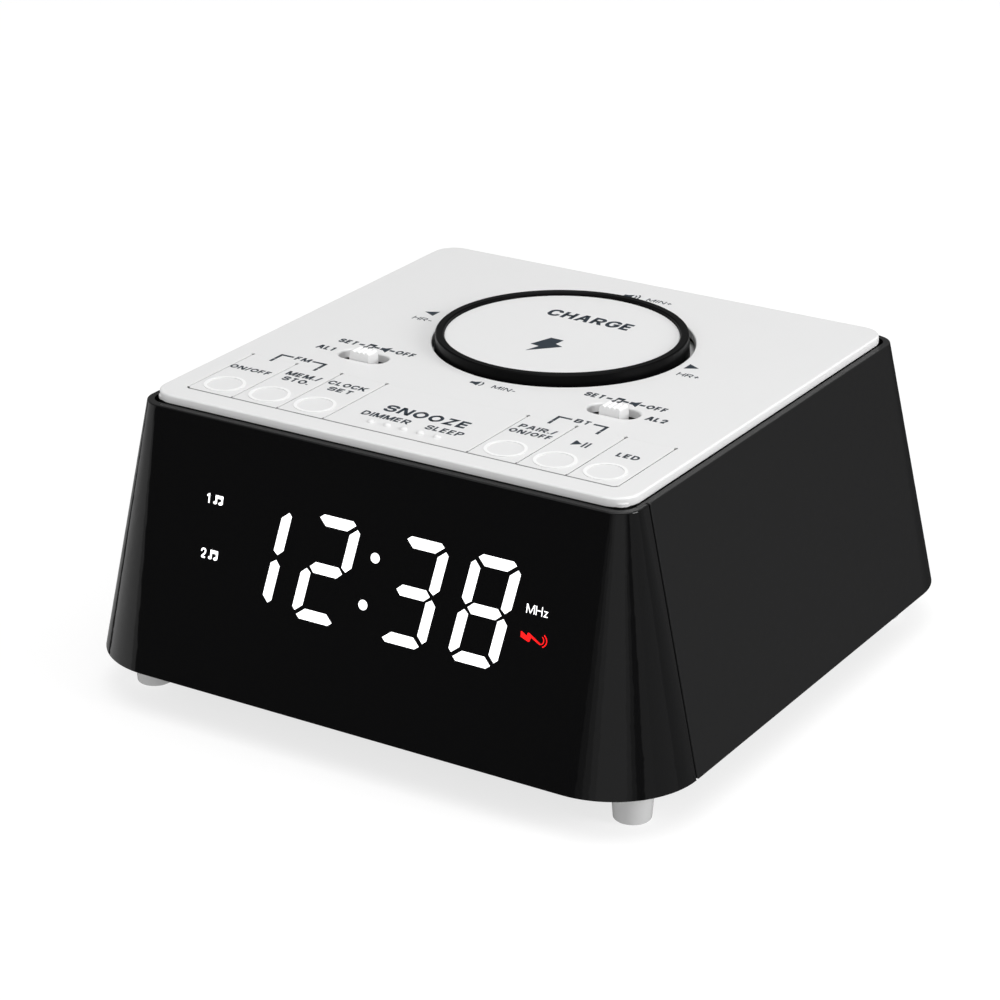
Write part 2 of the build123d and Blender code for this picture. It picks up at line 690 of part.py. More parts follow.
# --- Key board under the lid ----------------------------------------------------------------
with BuildPart() as key_board:
    with BuildSketch(Plane.XY.offset(KEY_BOARD_Z)):
        with Locations((0, -33.5)):
            RectangleRounded(114.0, 47.0, 2.0)
        with Locations((0, PAD_Y)):
            Circle(42.5, mode=Mode.SUBTRACT)
    extrude(amount=BOARD_T)
    add(
        columns(KEY_BOARD_SCREWS, SCREW_HOLE_R, KEY_BOARD_Z - 1, KEY_BOARD_Z + BOARD_T + 1),
        mode=Mode.SUBTRACT,
    )
keep("key_board", key_board)

key_middles = [(KEY_EDGES[i] + KEY_EDGES[i + 1]) / 2 for i in range(len(KEY_NAMES))]
key_switch_places = [(x, KEY_POST_Y) for x in key_middles]
keep("key_switches", tact_switches(key_switch_places, KEY_BOARD_Z + BOARD_T, 3.5, 0.8))

for side, case_x in (("left", -POCKET_X), ("right", POCKET_X)):
    with BuildPart() as slide_case:
        with BuildSketch(Plane.XY.offset(KEY_BOARD_Z + BOARD_T)):
            with Locations((case_x, POCKET_Y)):
                Rectangle(13.0, 5.6)
        extrude(amount=3.4)
        with BuildSketch(Plane.XY.offset(KEY_BOARD_Z + BOARD_T + 1.6)):
            with Locations((case_x, POCKET_Y)):
                Rectangle(2 * KNOB_TRAVEL + STEM + 0.8, STEM + 0.6)
        extrude(amount=4, mode=Mode.SUBTRACT)
    keep("slide_switch_" + side, slide_case)

# --- Display -----------------------------------------------------------------------------------


def segment_outlines():
    """Corner points of the seven segments of one upright digit, from its lower left corner."""
    w, h, t = DIGIT_W, DIGIT_H, SEGMENT_T
    mid = h / 2
    top = [
        (BAR_TIP, h - TIP_DROP), (BAR_EDGE, h), (w - BAR_EDGE, h), (w - BAR_TIP, h - TIP_DROP),
        (w - BAR_EDGE - 1, h - t), (BAR_EDGE + 1, h - t),
    ]
    right = [
        (w - TIP_DROP, h - POST_TIP), (w, h - POST_EDGE), (w, mid + MIDDLE_TIP + 1.3),
        (w - t / 2, mid + MIDDLE_TIP), (w - t, mid + MIDDLE_TIP + 0.9), (w - t, h - POST_TIP - 1.6),
    ]
    middle_bar = [
        (BAR_TIP + 0.5, mid), (BAR_EDGE + 0.8, mid + t / 2), (w - BAR_EDGE - 0.8, mid + t / 2),
        (w - BAR_TIP - 0.5, mid), (w - BAR_EDGE - 0.8, mid - t / 2), (BAR_EDGE + 0.8, mid - t / 2),
    ]

    def flip_x(points):
        return [(w - x, y) for x, y in points]

    def flip_y(points):
        return [(x, h - y) for x, y in points]

    return {
        "a": top,
        "b": right,
        "c": flip_y(right),
        "d": flip_y(top),
        "e": flip_x(flip_y(right)),
        "f": flip_x(right),
        "g": middle_bar,
    }


def segment_faces():
    """All 28 slanted segments and the colon, on the front cover's plane."""
    bottom = -(DIGIT_TOP + DIGIT_H)
    with BuildSketch() as faces:
        for left in DIGIT_LEFTS:
            for points in segment_outlines().values():
                with BuildLine():
                    Polyline(
                        *[(left + x + y * tan(DIGIT_SLANT), bottom + y) for x, y in points],
                        close=True,
                    )
                make_face()
        with Locations(*[(x, -s) for x, s in COLON_DOTS]):
            Circle(COLON_R)
    return faces.sketch


segments = segment_faces()
with BuildPart() as display_segments:
    with BuildSketch(front_plane(CASE_FRONT - 5.0)):
        add(segments)
    extrude(amount=5.0)
keep("display_segments", display_segments)

with BuildPart() as display_case:
    with BuildSketch(front_plane(CASE_FRONT - CASE_DEPTH)):
        with Locations((CASE_X, -CASE_S)):
            Rectangle(CASE_L, CASE_W)
    extrude(amount=CASE_DEPTH)
    with BuildSketch(front_plane(CASE_FRONT - 5.0)):
        add(segments)
    extrude(amount=6.0, mode=Mode.SUBTRACT)
keep("display_case", display_case)

with BuildPart() as display_board:
    with BuildSketch(front_plane(CASE_FRONT - CASE_DEPTH - BOARD_T)):
        with Locations((CASE_X, -CASE_S)):
            Rectangle(CASE_L + 4, CASE_W + 2)
    extrude(amount=BOARD_T)
keep("display_board", display_board)

with BuildPart() as display_bracket:
    with BuildSketch(front_plane(-7.0)):
        with Locations((0, -28.0)):
            RectangleRounded(124.0, 44.0, 3.0)
        with Locations((CASE_X, -CASE_S)):
            Rectangle(CASE_L + 0.2, CASE_W + 0.2, mode=Mode.SUBTRACT)
        with Locations(*BRACKET_SCREWS):
            Circle(1.1, mode=Mode.SUBTRACT)
    extrude(amount=2.0)
keep("display_bracket", display_bracket)

# Heads sit behind the bracket, so the screws are drawn from the inside towards the cover.
with BuildPart() as display_screws:
    with BuildSketch(front_plane(-8.4)):
        with Locations(*BRACKET_SCREWS):
            Circle(2.0)
            Circle(0.6, mode=Mode.SUBTRACT)
    extrude(amount=1.4)
    with BuildSketch(front_plane(-7.6)):
        with Locations(*BRACKET_SCREWS):
            Circle(0.8)
    extrude(amount=5.0)
keep("display_screws", display_screws)

# --- Base plate, feet, and what is screwed to it ---------------------------------------------------
GRILLE_RINGS = ((0.0, 1), (5.0, 6), (10.0, 12), (15.0, 18), (20.0, 24), (25.0, 30))
with BuildPart() as base_plate:
    with BuildSketch(Plane.XY.offset(FLOOR_Z)):
        RectangleRounded(153.6, 154.0, 18.6)
    extrude(amount=FLOOR_T)
    with BuildSketch(Plane.XY.offset(FLOOR_TOP)):
        with Locations(*MAIN_BOARD_SCREWS, *CHARGER_SCREWS):
            Circle(2.5)
    extrude(amount=MAIN_BOARD_Z - FLOOR_TOP)
    with BuildSketch(Plane.XY.offset(FLOOR_Z - 1)):
        for ring_r, count in GRILLE_RINGS:
            with PolarLocations(ring_r, count):
                Circle(1.3)
        with Locations(*BASE_SCREWS, *SPEAKER_SCREWS):
            Circle(1.6)
        for sx in (-1, 1):
            with Locations((sx * FOOT_X, FOOT_Y), (sx * FOOT_X, -FOOT_Y)):
                Circle(FOOT_STUD_R)
        with Locations((CELL_X, CELL_Y)):
            Circle(12.5)
    extrude(amount=FLOOR_T + 1 + 0.001, mode=Mode.SUBTRACT)
    add(columns([*MAIN_BOARD_SCREWS, *CHARGER_SCREWS], 0.8, FLOOR_TOP + 1, 20), mode=Mode.SUBTRACT)
keep("base_plate", base_plate)

for end, sy in (("front", -1), ("rear", 1)):
    for side, sx in (("left", -1), ("right", 1)):
        with BuildPart() as foot:
            with BuildSketch(Plane.XY.offset(0)):
                with Locations((sx * FOOT_X, sy * FOOT_Y)):
                    Circle(FOOT_LOW_R)
            with BuildSketch(Plane.XY.offset(FLOOR_Z)):
                with Locations((sx * FOOT_X, sy * FOOT_Y)):
                    Circle(FOOT_TOP_R)
            loft()
            fillet(foot.edges().group_by(Axis.Z)[0], 0.5)
            with BuildSketch(Plane.XY.offset(FLOOR_Z)):
                with Locations((sx * FOOT_X, sy * FOOT_Y)):
                    Circle(FOOT_STUD_R - 0.05)
            extrude(amount=FLOOR_T)
            with BuildSketch(Plane.XY.offset(FLOOR_TOP)):
                with Locations((sx * FOOT_X, sy * FOOT_Y)):
                    Circle(FOOT_STUD_R + 0.6)
            extrude(amount=1.0)
        keep(f"foot_{end}_{side}", foot)

with BuildPart() as speaker_frame:
    with BuildSketch(Plane.XY.offset(FLOOR_TOP)):
        RectangleRounded(2 * SPEAKER_R - 4, 2 * SPEAKER_R - 4, 8.0)
        Circle(SPEAKER_R)
        Circle(30.5, mode=Mode.SUBTRACT)
        with Locations(*SPEAKER_SCREWS):
            Circle(1.6, mode=Mode.SUBTRACT)
    extrude(amount=1.6)
    with BuildSketch(Plane.XZ):
        with BuildLine():
            Polyline(
                (30.5, FLOOR_TOP + 1.6), (32.0, FLOOR_TOP + 1.6), (19.0, 33.0), (0, 33.0),
                (0, 31.6), (17.8, 31.6), close=True,
            )
        make_face()
    revolve(axis=Axis.Z)
keep("speaker_frame", speaker_frame)

with BuildPart() as speaker_magnet:
    with BuildSketch(Plane.XY.offset(33.0)):
        Circle(22.5)
    extrude(amount=10.0)
    fillet(speaker_magnet.edges().filter_by(GeomType.CIRCLE), 1.0)
keep("speaker_magnet", speaker_magnet)

ROLL_R = 27.0
ROLL_OUT = 2.6
ROLL_IN = 2.1
ROLL_Z = 14.4
CONE_HIGH_Z = 24.0
CONE_T = 0.6
CAP_LOW_Z = 20.6
CAP_BALL_R = 15.0
with BuildPart() as speaker_surround:
    with BuildSketch(Plane.XZ):
        with Locations((ROLL_R, ROLL_Z)):
            Circle(ROLL_OUT)
            Circle(ROLL_IN, mode=Mode.SUBTRACT)
        with Locations((ROLL_R, ROLL_Z - ROLL_OUT)):
            Rectangle(4 * ROLL_OUT, 2 * ROLL_OUT, mode=Mode.SUBTRACT)
    revolve(axis=Axis.Z)
keep("speaker_surround", speaker_surround)

with BuildPart() as speaker_cone:
    with BuildSketch(Plane.XZ):
        with BuildLine():
            Polyline(
                (9.0, CONE_HIGH_Z), (ROLL_R - ROLL_OUT - 0.1, ROLL_Z),
                (ROLL_R - ROLL_OUT - 0.1, ROLL_Z + CONE_T), (9.0, CONE_HIGH_Z + CONE_T),
                close=True,
            )
        make_face()
    revolve(axis=Axis.Z)
keep("speaker_cone", speaker_cone)

with BuildPart() as speaker_dust_cap:
    with Locations((0, 0, CAP_LOW_Z + CAP_BALL_R)):
        Sphere(CAP_BALL_R)
        Sphere(CAP_BALL_R - 0.6, mode=Mode.SUBTRACT)
    add(slab(-FAR, FAR, -FAR, FAR, 0, CONE_HIGH_Z - 0.6), mode=Mode.INTERSECT)
keep("speaker_dust_cap", speaker_dust_cap)

# --- Boards in the base -----------------------------------------------------------------------------
with BuildPart() as main_board:
    with BuildSketch(Plane.XY.offset(MAIN_BOARD_Z)):
        with Locations((0, 56.0)):
            Rectangle(124.0, 28.0)
        with Locations(*MAIN_BOARD_SCREWS):
            Circle(1.1, mode=Mode.SUBTRACT)
    extrude(amount=BOARD_T)
keep("main_board", main_board)

with BuildPart() as charger_board:
    with BuildSketch(Plane.XY.offset(MAIN_BOARD_Z)):
        with Locations((-53.0, 0)):
            Rectangle(26.0, 60.0)
        with Locations(*CHARGER_SCREWS):
            Circle(1.1, mode=Mode.SUBTRACT)
    extrude(amount=BOARD_T)
keep("charger_board", charger_board)

with BuildPart() as board_chips:
    with BuildSketch(Plane.XY.offset(MAIN_BOARD_TOP)):
        with Locations((-42.0, 55.0), (26.0, 50.0), (-50.0, -22.0)):
            Rectangle(10.0, 10.0)
        with Locations((-32.0, 47.0), (0.0, 49.0), (34.0, 64.0)):
            Rectangle(6.0, 4.0)
    extrude(amount=1.4)
keep("board_chips", board_chips)

with BuildPart() as board_capacitors:
    with BuildSketch(Plane.XY.offset(MAIN_BOARD_TOP)):
        with Locations((-48.0, 64.0), (48.0, 62.0), (-47.0, 12.0), (-59.0, 12.0), (-47.0, -10.0)):
            Circle(3.15)
    extrude(amount=9.0)
keep("board_capacitors", board_capacitors)

with BuildPart() as board_inductors:
    with BuildSketch(Plane.XY.offset(MAIN_BOARD_TOP)):
        with Locations((-59.0, 2.0), (-48.0, 2.0)):
            RectangleRounded(8.0, 8.0, 1.5)
    extrude(amount=4.5)
keep("board_inductors", board_inductors)

with BuildPart() as radio_module:
    with BuildSketch(Plane.XY.offset(MAIN_BOARD_TOP)):
        with Locations((46.0, 49.0)):
            Rectangle(16.0, 12.0)
    extrude(amount=2.6)
keep("radio_module", radio_module)

# --- Sockets on the back edge of the main board --------------------------------------------------------
SOCKET_FRONT = PORT_PANEL_Y - PORT_PANEL_T - 0.1
with BuildPart() as dc_inlet:
    add(slab(DC_X - 4.5, DC_X + 4.5, 57.0, SOCKET_FRONT, MAIN_BOARD_TOP, PORT_Z + 5.0))
    with BuildSketch(Plane.XZ.offset(-SOCKET_FRONT)):
        with Locations((DC_X, PORT_Z)):
            Circle(4.1)
    extrude(amount=-PORT_PANEL_T - 0.1)
    with BuildSketch(Plane.XZ.offset(-60.0)):
        with Locations((DC_X, PORT_Z)):
            Circle(DC_BORE_R)
    extrude(amount=-FAR, mode=Mode.SUBTRACT)
    with BuildSketch(Plane.XZ.offset(-59.0)):
        with Locations((DC_X, PORT_Z)):
            Circle(DC_PIN_R)
    extrude(amount=-(PORT_PANEL_Y - 1.0 - 59.0))
keep("dc_inlet", dc_inlet)

with BuildPart() as audio_jack:
    add(slab(AUX_X - 3.2, AUX_X + 3.2, 57.0, SOCKET_FRONT, MAIN_BOARD_TOP, PORT_Z + 3.2))
    with BuildSketch(Plane.XZ.offset(-SOCKET_FRONT)):
        with Locations((AUX_X, PORT_Z)):
            Circle(3.0)
    extrude(amount=-PORT_PANEL_T - 0.1)
    with BuildSketch(Plane.XZ.offset(-58.0)):
        with Locations((AUX_X, PORT_Z)):
            Circle(AUX_BORE_R)
    extrude(amount=-FAR, mode=Mode.SUBTRACT)
keep("audio_jack", audio_jack)

USB_WALL = 0.5
TONGUE_T = 1.8
TONGUE_FRONT = PORT_PANEL_Y - 1.2
with BuildPart() as usb_socket:
    with BuildSketch(Plane.XZ.offset(-58.0)):
        with Locations((USB_X, PORT_Z)):
            Rectangle(USB_OPEN_W + 2 * USB_WALL, USB_OPEN_H + 2 * USB_WALL)
    extrude(amount=-(PORT_PANEL_Y - 58.0))
    with BuildSketch(Plane.XZ.offset(-58.6)):
        with Locations((USB_X, PORT_Z)):
            Rectangle(USB_OPEN_W, USB_OPEN_H)
    extrude(amount=-FAR, mode=Mode.SUBTRACT)
    with BuildSketch(Plane.XY.offset(MAIN_BOARD_TOP)):
        with Locations((USB_X, 63.0)):
            Rectangle(10.0, 6.0)
    extrude(amount=PORT_Z - USB_OPEN_H / 2 - USB_WALL / 2 - MAIN_BOARD_TOP)
    add(slab(-5.6, 5.6, 58.3, TONGUE_FRONT, PORT_Z + 0.3, PORT_Z + 0.3 + TONGUE_T))
keep("usb_socket", usb_socket)

# --- Backup cell and its cover -----------------------------------------------------------------------------
with BuildPart() as cell_cover:
    with BuildSketch(Plane.XY.offset(FLOOR_Z)):
        with Locations((CELL_X, CELL_Y)):
            Circle(12.3)
    extrude(amount=1.8)
    with BuildSketch(Plane.XY.offset(FLOOR_Z)):
        with Locations((CELL_X, CELL_Y)):
            Rectangle(14.0, 1.6)
    extrude(amount=0.9, mode=Mode.SUBTRACT)
keep("cell_cover", cell_cover)

with BuildPart() as cell_holder:
    with BuildSketch(Plane.XY.offset(FLOOR_TOP)):
        with Locations((CELL_X, CELL_Y)):
            Circle(13.8)
            Circle(CELL_R + 0.3, mode=Mode.SUBTRACT)
    extrude(amount=CELL_T + 0.4)
    with BuildSketch(Plane.XY.offset(FLOOR_TOP + CELL_T + 0.4)):
        with Locations((CELL_X, CELL_Y)):
            Circle(13.8)
    extrude(amount=1.2)
keep("cell_holder", cell_holder)

with BuildPart() as coin_cell:
    with BuildSketch(Plane.XY.offset(FLOOR_TOP + 0.3)):
        with Locations((CELL_X, CELL_Y)):
            Circle(CELL_R)
    extrude(amount=CELL_T)
    fillet(coin_cell.edges().group_by(Axis.Z)[0], 0.4)
keep("coin_cell", coin_cell)

# --- Fasteners ---------------------------------------------------------------------
keep("base_screws", screws(BASE_SCREWS, FLOOR_Z - 0.6, 0.6, 24.0, 2.6, 1.1))
keep("lid_screws", screws(LID_SCREWS, LEDGE_Z - 1.3, 1.3, PLATE_UNDER - 1.5, 1.9, 0.8))
keep(
    "key_board_screws",
    screws(KEY_BOARD_SCREWS, KEY_BOARD_Z - 1.3, 1.3, PLATE_UNDER - 1.5, 1.9, 0.8),
)
keep("pad_frame_screws", screws(PAD_SCREWS, DECK_Z - 1.3, 1.3, DECK_Z + 8.0, 1.9, 0.8))
keep("speaker_screws", screws(SPEAKER_SCREWS, FLOOR_Z - 0.6, 0.6, FLOOR_TOP + 3.2, 2.4, 1.1))

# The boards' screws go in from above, so their plane looks down.
DOWN = Plane(origin=(0, 0, MAIN_BOARD_TOP + 1.3), x_dir=(1, 0, 0), z_dir=(0, 0, -1))
board_screw_places = [(x, -y) for x, y in (*MAIN_BOARD_SCREWS, *CHARGER_SCREWS)]
keep("board_screws", screws(board_screw_places, 0, 1.3, 6.0, 1.9, 0.8, DOWN))

os.makedirs("parts", exist_ok=True)
for name, part in pieces.items():
    export_step(part, f"parts/{name}.step")
print(len(pieces), "pieces")
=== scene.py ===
"""Looks of a clock radio with a rocking charging pad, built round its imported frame.

Everything is in metres in the frame's own axes: +Z up, the display faces -Y.
Prints and lit shapes are laid out in millimetres on the surface that carries them.
"""

import json
import math

import bmesh
import bpy
from mathutils import Matrix, Vector


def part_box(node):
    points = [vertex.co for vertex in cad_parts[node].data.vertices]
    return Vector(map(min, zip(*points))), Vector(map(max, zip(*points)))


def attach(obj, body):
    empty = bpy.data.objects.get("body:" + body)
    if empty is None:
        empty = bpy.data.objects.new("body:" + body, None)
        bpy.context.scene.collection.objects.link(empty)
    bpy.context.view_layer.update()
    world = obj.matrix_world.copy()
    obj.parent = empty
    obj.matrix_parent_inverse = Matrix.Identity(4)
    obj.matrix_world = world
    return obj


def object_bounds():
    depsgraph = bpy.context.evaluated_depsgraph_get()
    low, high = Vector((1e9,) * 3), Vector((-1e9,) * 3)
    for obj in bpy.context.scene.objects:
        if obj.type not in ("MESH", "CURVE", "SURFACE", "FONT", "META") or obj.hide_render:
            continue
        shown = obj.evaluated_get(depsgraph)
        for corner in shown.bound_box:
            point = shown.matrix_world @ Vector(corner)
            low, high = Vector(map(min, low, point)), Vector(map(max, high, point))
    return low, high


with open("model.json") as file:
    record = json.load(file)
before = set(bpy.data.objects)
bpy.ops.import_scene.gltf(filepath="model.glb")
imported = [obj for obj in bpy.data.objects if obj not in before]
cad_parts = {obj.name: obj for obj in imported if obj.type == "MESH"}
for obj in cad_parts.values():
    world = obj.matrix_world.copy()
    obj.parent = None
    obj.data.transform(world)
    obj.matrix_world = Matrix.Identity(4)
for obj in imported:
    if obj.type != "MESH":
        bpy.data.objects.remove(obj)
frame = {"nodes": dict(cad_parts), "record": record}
cad_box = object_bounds()
MM = 0.001


# --- Places, taken from the frame -------------------------------------------------


def facet(node, towards):
    """Centre and normal of a node's largest flat facet that faces that way."""
    facing = [p for p in frame["nodes"][node].data.polygons if p.normal.dot(Vector(towards)) > 0.9]
    widest = max(facing, key=lambda p: p.area)
    return widest.center.copy(), widest.normal.copy()


def level_at(z):
    """A level surface: x right, y back, z up."""
    return Matrix.Translation((0, 0, z))


def front_surface():
    """The front cover's face: x right, y up the slope from the rim, z outwards."""
    on_face, out = facet("front_cover", (0, -1, 0))
    up = Vector((1, 0, 0)).cross(out) * -1
    rim_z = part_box("front_cover")[1].z
    origin = on_face + up * ((rim_z - on_face.z) / up.z)
    origin.x = 0
    axes = Matrix((Vector((1, 0, 0)), up, out)).transposed().to_4x4()
    return Matrix.Translation(origin) @ axes


LID_TOP = facet("top_plate", (0, 0, 1))[0].z
PAD_TOP = facet("pad_disc", (0, 0, 1))[0].z
LID = level_at(LID_TOP)
PAD = level_at(PAD_TOP)
FRONT = front_surface()


# --- Materials ----------------------------------------------------------------------

NOISE_SPAN = (0.3, 0.7)


def principled(name, color, roughness, **sockets):
    """A new material with its shader's own sockets set; returns material, tree and shader."""
    material = bpy.data.materials.new(name)
    material.use_nodes = True
    tree = material.node_tree
    shader = tree.nodes["Principled BSDF"]
    shader.inputs["Base Color"].default_value = (*color, 1)
    shader.inputs["Roughness"].default_value = roughness
    for socket, value in sockets.items():
        shader.inputs[socket.replace("_", " ").title().replace("Ior", "IOR")].default_value = value
    return material, tree, shader


def noise(tree, scale, detail=3.0, stretch=(1, 1, 1)):
    """Procedural noise on the piece's own coordinates, scale in features per metre."""
    where = tree.nodes.new("ShaderNodeTexCoord")
    mapping = tree.nodes.new("ShaderNodeMapping")
    mapping.inputs["Scale"].default_value = stretch
    texture = tree.nodes.new("ShaderNodeTexNoise")
    texture.inputs["Scale"].default_value = scale
    texture.inputs["Detail"].default_value = detail
    tree.links.new(where.outputs["Object"], mapping.inputs["Vector"])
    tree.links.new(mapping.outputs["Vector"], texture.inputs["Vector"])
    return texture.outputs["Fac"]


def between(tree, factor, low, high):
    """Maps a noise factor, most of which lies in NOISE_SPAN, on to low to high."""
    mapped = tree.nodes.new("ShaderNodeMapRange")
    mapped.inputs["From Min"].default_value = NOISE_SPAN[0]
    mapped.inputs["From Max"].default_value = NOISE_SPAN[1]
    mapped.inputs["To Min"].default_value = low
    mapped.inputs["To Max"].default_value = high
    tree.links.new(factor, mapped.inputs["Value"])
    return mapped.outputs["Result"]


def tint(tree, shader, factor, dark, light):
    """Lets the base colour drift between two near tones."""
    mix = tree.nodes.new("ShaderNodeMix")
    mix.data_type = "RGBA"
    mix.inputs["A"].default_value = (*dark, 1)
    mix.inputs["B"].default_value = (*light, 1)
    tree.links.new(factor, mix.inputs["Factor"])
    tree.links.new(mix.outputs["Result"], shader.inputs["Base Color"])


def bumpy(tree, shader, height, strength, distance):
    """Relief from a height, distance in metres."""
    bump = tree.nodes.new("ShaderNodeBump")
    bump.inputs["Strength"].default_value = strength
    bump.inputs["Distance"].default_value = distance
    tree.links.new(height, bump.inputs["Height"])
    tree.links.new(bump.outputs["Normal"], shader.inputs["Normal"])


def scaled(color, share):
    """A colour made darker or lighter."""
    return tuple(channel * share for channel in color)


def moulded(name, color, roughness, grain, relief, variation=0.04, **sockets):
    """Moulded plastic: spark-eroded grain, patchy gloss and a slight drift of colour."""
    material, tree, shader = principled(name, color, roughness, **sockets)
    patches = noise(tree, 60, detail=4)
    tint(tree, shader, patches, scaled(color, 1 - variation), scaled(color, 1 + variation))
    gloss = between(tree, noise(tree, 500, detail=5), roughness * 0.95, roughness * 1.05)
    tree.links.new(gloss, shader.inputs["Roughness"])
    if relief:
        bumpy(tree, shader, noise(tree, grain, detail=2), 0.35, relief)
    return material


def painted_within(material, low, high, color):
    """Paints whatever of a surface lies in a box, corners in metres, with a second colour."""
    tree = material.node_tree
    base = tree.nodes["Principled BSDF"].inputs["Base Color"]
    where = tree.nodes.new("ShaderNodeTexCoord")
    split = tree.nodes.new("ShaderNodeSeparateXYZ")
    tree.links.new(where.outputs["Object"], split.inputs["Vector"])
    mix = tree.nodes.new("ShaderNodeMix")
    mix.data_type = "RGBA"
    mix.inputs["B"].default_value = (*color, 1)
    inside = None
    for axis in range(3):
        near = tree.nodes.new("ShaderNodeMath")
        near.operation = "COMPARE"
        near.inputs[1].default_value = (low[axis] + high[axis]) / 2
        near.inputs[2].default_value = (high[axis] - low[axis]) / 2
        tree.links.new(split.outputs[axis], near.inputs[0])
        if inside is None:
            inside = near.outputs["Value"]
            continue
        both = tree.nodes.new("ShaderNodeMath")
        both.operation = "MULTIPLY"
        tree.links.new(inside, both.inputs[0])
        tree.links.new(near.outputs["Value"], both.inputs[1])
        inside = both.outputs["Value"]
    tree.links.new(inside, mix.inputs["Factor"])
    tree.links.new(base.links[0].from_socket, mix.inputs["A"])
    tree.links.new(mix.outputs["Result"], base)


def rubbed_metal(name, color, roughness):
    """Plated steel with faint drawing lines and a dull, uneven plating."""
    material, tree, shader = principled(name, color, roughness, metallic=1.0)
    lines = noise(tree, 900, detail=2, stretch=(1, 1, 12))
    tint(tree, shader, noise(tree, 300), scaled(color, 0.8), color)
    gloss = between(tree, lines, roughness * 0.8, roughness * 1.3)
    tree.links.new(gloss, shader.inputs["Roughness"])
    bumpy(tree, shader, lines, 0.15, 0.00002)
    return material


def glowing(name, color, strength):
    """A lit shape: a milky surface that shines slightly unevenly."""
    material, tree, shader = principled(name, scaled(color, 0.8), 0.4)
    shader.inputs["Emission Color"].default_value = (*color, 1)
    level = between(tree, noise(tree, 400), strength * 0.97, strength * 1.03)
    tree.links.new(level, shader.inputs["Emission Strength"])
    return material


def circuit_board():
    """Green solder mask over tracks that show as slightly raised, lighter lines."""
    green = (0.012, 0.085, 0.035)
    material, tree, shader = principled("solder_mask", green, 0.35)
    where = tree.nodes.new("ShaderNodeTexCoord")
    tracks = tree.nodes.new("ShaderNodeTexBrick")
    tracks.inputs["Scale"].default_value = 140
    tracks.inputs["Mortar Size"].default_value = 0.03
    tracks.inputs["Color1"].default_value = (*green, 1)
    tracks.inputs["Color2"].default_value = (*scaled(green, 0.8), 1)
    tracks.inputs["Mortar"].default_value = (*scaled(green, 2.2), 1)
    tree.links.new(where.outputs["Object"], tracks.inputs["Vector"])
    tree.links.new(tracks.outputs["Color"], shader.inputs["Base Color"])
    bumpy(tree, shader, tracks.outputs["Fac"], 0.5, 0.00003)
    return material


def wound_wire():
    """Enamelled copper laid in turns round the pad's axis."""
    material, tree, shader = principled("copper_turns", (0.55, 0.2, 0.08), 0.28, metallic=1.0)
    where = tree.nodes.new("ShaderNodeTexCoord")
    mapping = tree.nodes.new("ShaderNodeMapping")
    low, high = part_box("charging_coil")
    mapping.inputs["Location"].default_value = -(low + high) / 2
    turns = tree.nodes.new("ShaderNodeTexWave")
    turns.wave_type = "RINGS"
    turns.rings_direction = "Z"
    turns.inputs["Scale"].default_value = 280
    tree.links.new(where.outputs["Object"], mapping.inputs["Vector"])
    tree.links.new(mapping.outputs["Vector"], turns.inputs["Vector"])
    # Painted shade: the colour darkens in the grooves between the turns, following the same wave as
    # the relief.
    tint(tree, shader, turns.outputs["Fac"], (0.2, 0.06, 0.02), (0.6, 0.24, 0.1))
    bumpy(tree, shader, turns.outputs["Fac"], 0.8, 0.0003)
    return material


BLACK_GLOSS = (0.0035, 0.0035, 0.0037)
BLACK_SATIN = (0.005, 0.005, 0.0053)
RING_BLACK = (0.002, 0.002, 0.0022)
LID_WHITE = (0.81, 0.81, 0.81)
KNOB_WHITE = (0.92, 0.92, 0.92)
SLATE = (0.010, 0.021, 0.034)
# Depths of the finest spark-eroded grain, in metres.
FINE_RELIEF = 0.000006
FINEST_RELIEF = 0.000004

materials = {
    "tinted_cover": moulded("tinted_gloss", BLACK_GLOSS, 0.07, 0, 0, 0.02, specular_ior_level=0.3),
    "shell_black": moulded(
        "satin_black", BLACK_SATIN, 0.36, 9000, 0.00001, 0.03, specular_ior_level=0.38
    ),
    "lid_white": moulded("satin_white", LID_WHITE, 0.38, 7000, FINE_RELIEF, 0.008),
    "key_white": moulded("satin_white_keys", LID_WHITE, 0.38, 7000, FINE_RELIEF, 0.008),
    # Painted light: the knobs are given a faint white glow, though they are no lamp, to brighten
    # them.
    "knob_white": moulded(
        "satin_white_knobs_painted_glow", KNOB_WHITE, 0.3, 7000, FINE_RELIEF, 0.01, emission_strength=0.05
    ),
    "pad_white": moulded("satin_white_pad", LID_WHITE, 0.4, 6000, FINE_RELIEF, 0.008),
    "ring_black": moulded(
        "semi_gloss_black", RING_BLACK, 0.32, 9000, FINEST_RELIEF, 0.05, specular_ior_level=0.06
    ),
    "inner_black": moulded("inner_black", (0.015, 0.015, 0.015), 0.55, 4000, 0.00002, 0.1),
    "foot_rubber": moulded("milky_feet", (0.6, 0.6, 0.6), 0.25, 5000, 0.00001, 0.02),
    "steel": rubbed_metal("plated_steel", (0.62, 0.61, 0.58), 0.3),
    "copper": wound_wire(),
    "ferrite": moulded("ferrite", (0.03, 0.03, 0.033), 0.6, 2500, 0.00004, 0.2),
    "board_green": circuit_board(),
    "chip_black": moulded("moulded_chips", (0.02, 0.02, 0.02), 0.5, 6000, 0.00001, 0.1),
    "segment_white": moulded("light_guides", (0.75, 0.77, 0.8), 0.25, 6000, 0.000005, 0.02),
    "cone_paper": moulded("cone_paper", (0.02, 0.02, 0.021), 0.85, 3000, 0.0001, 0.25),
    "surround_rubber": moulded("surround_rubber", (0.012, 0.012, 0.012), 0.5, 4000, 0.00002, 0.1),
}
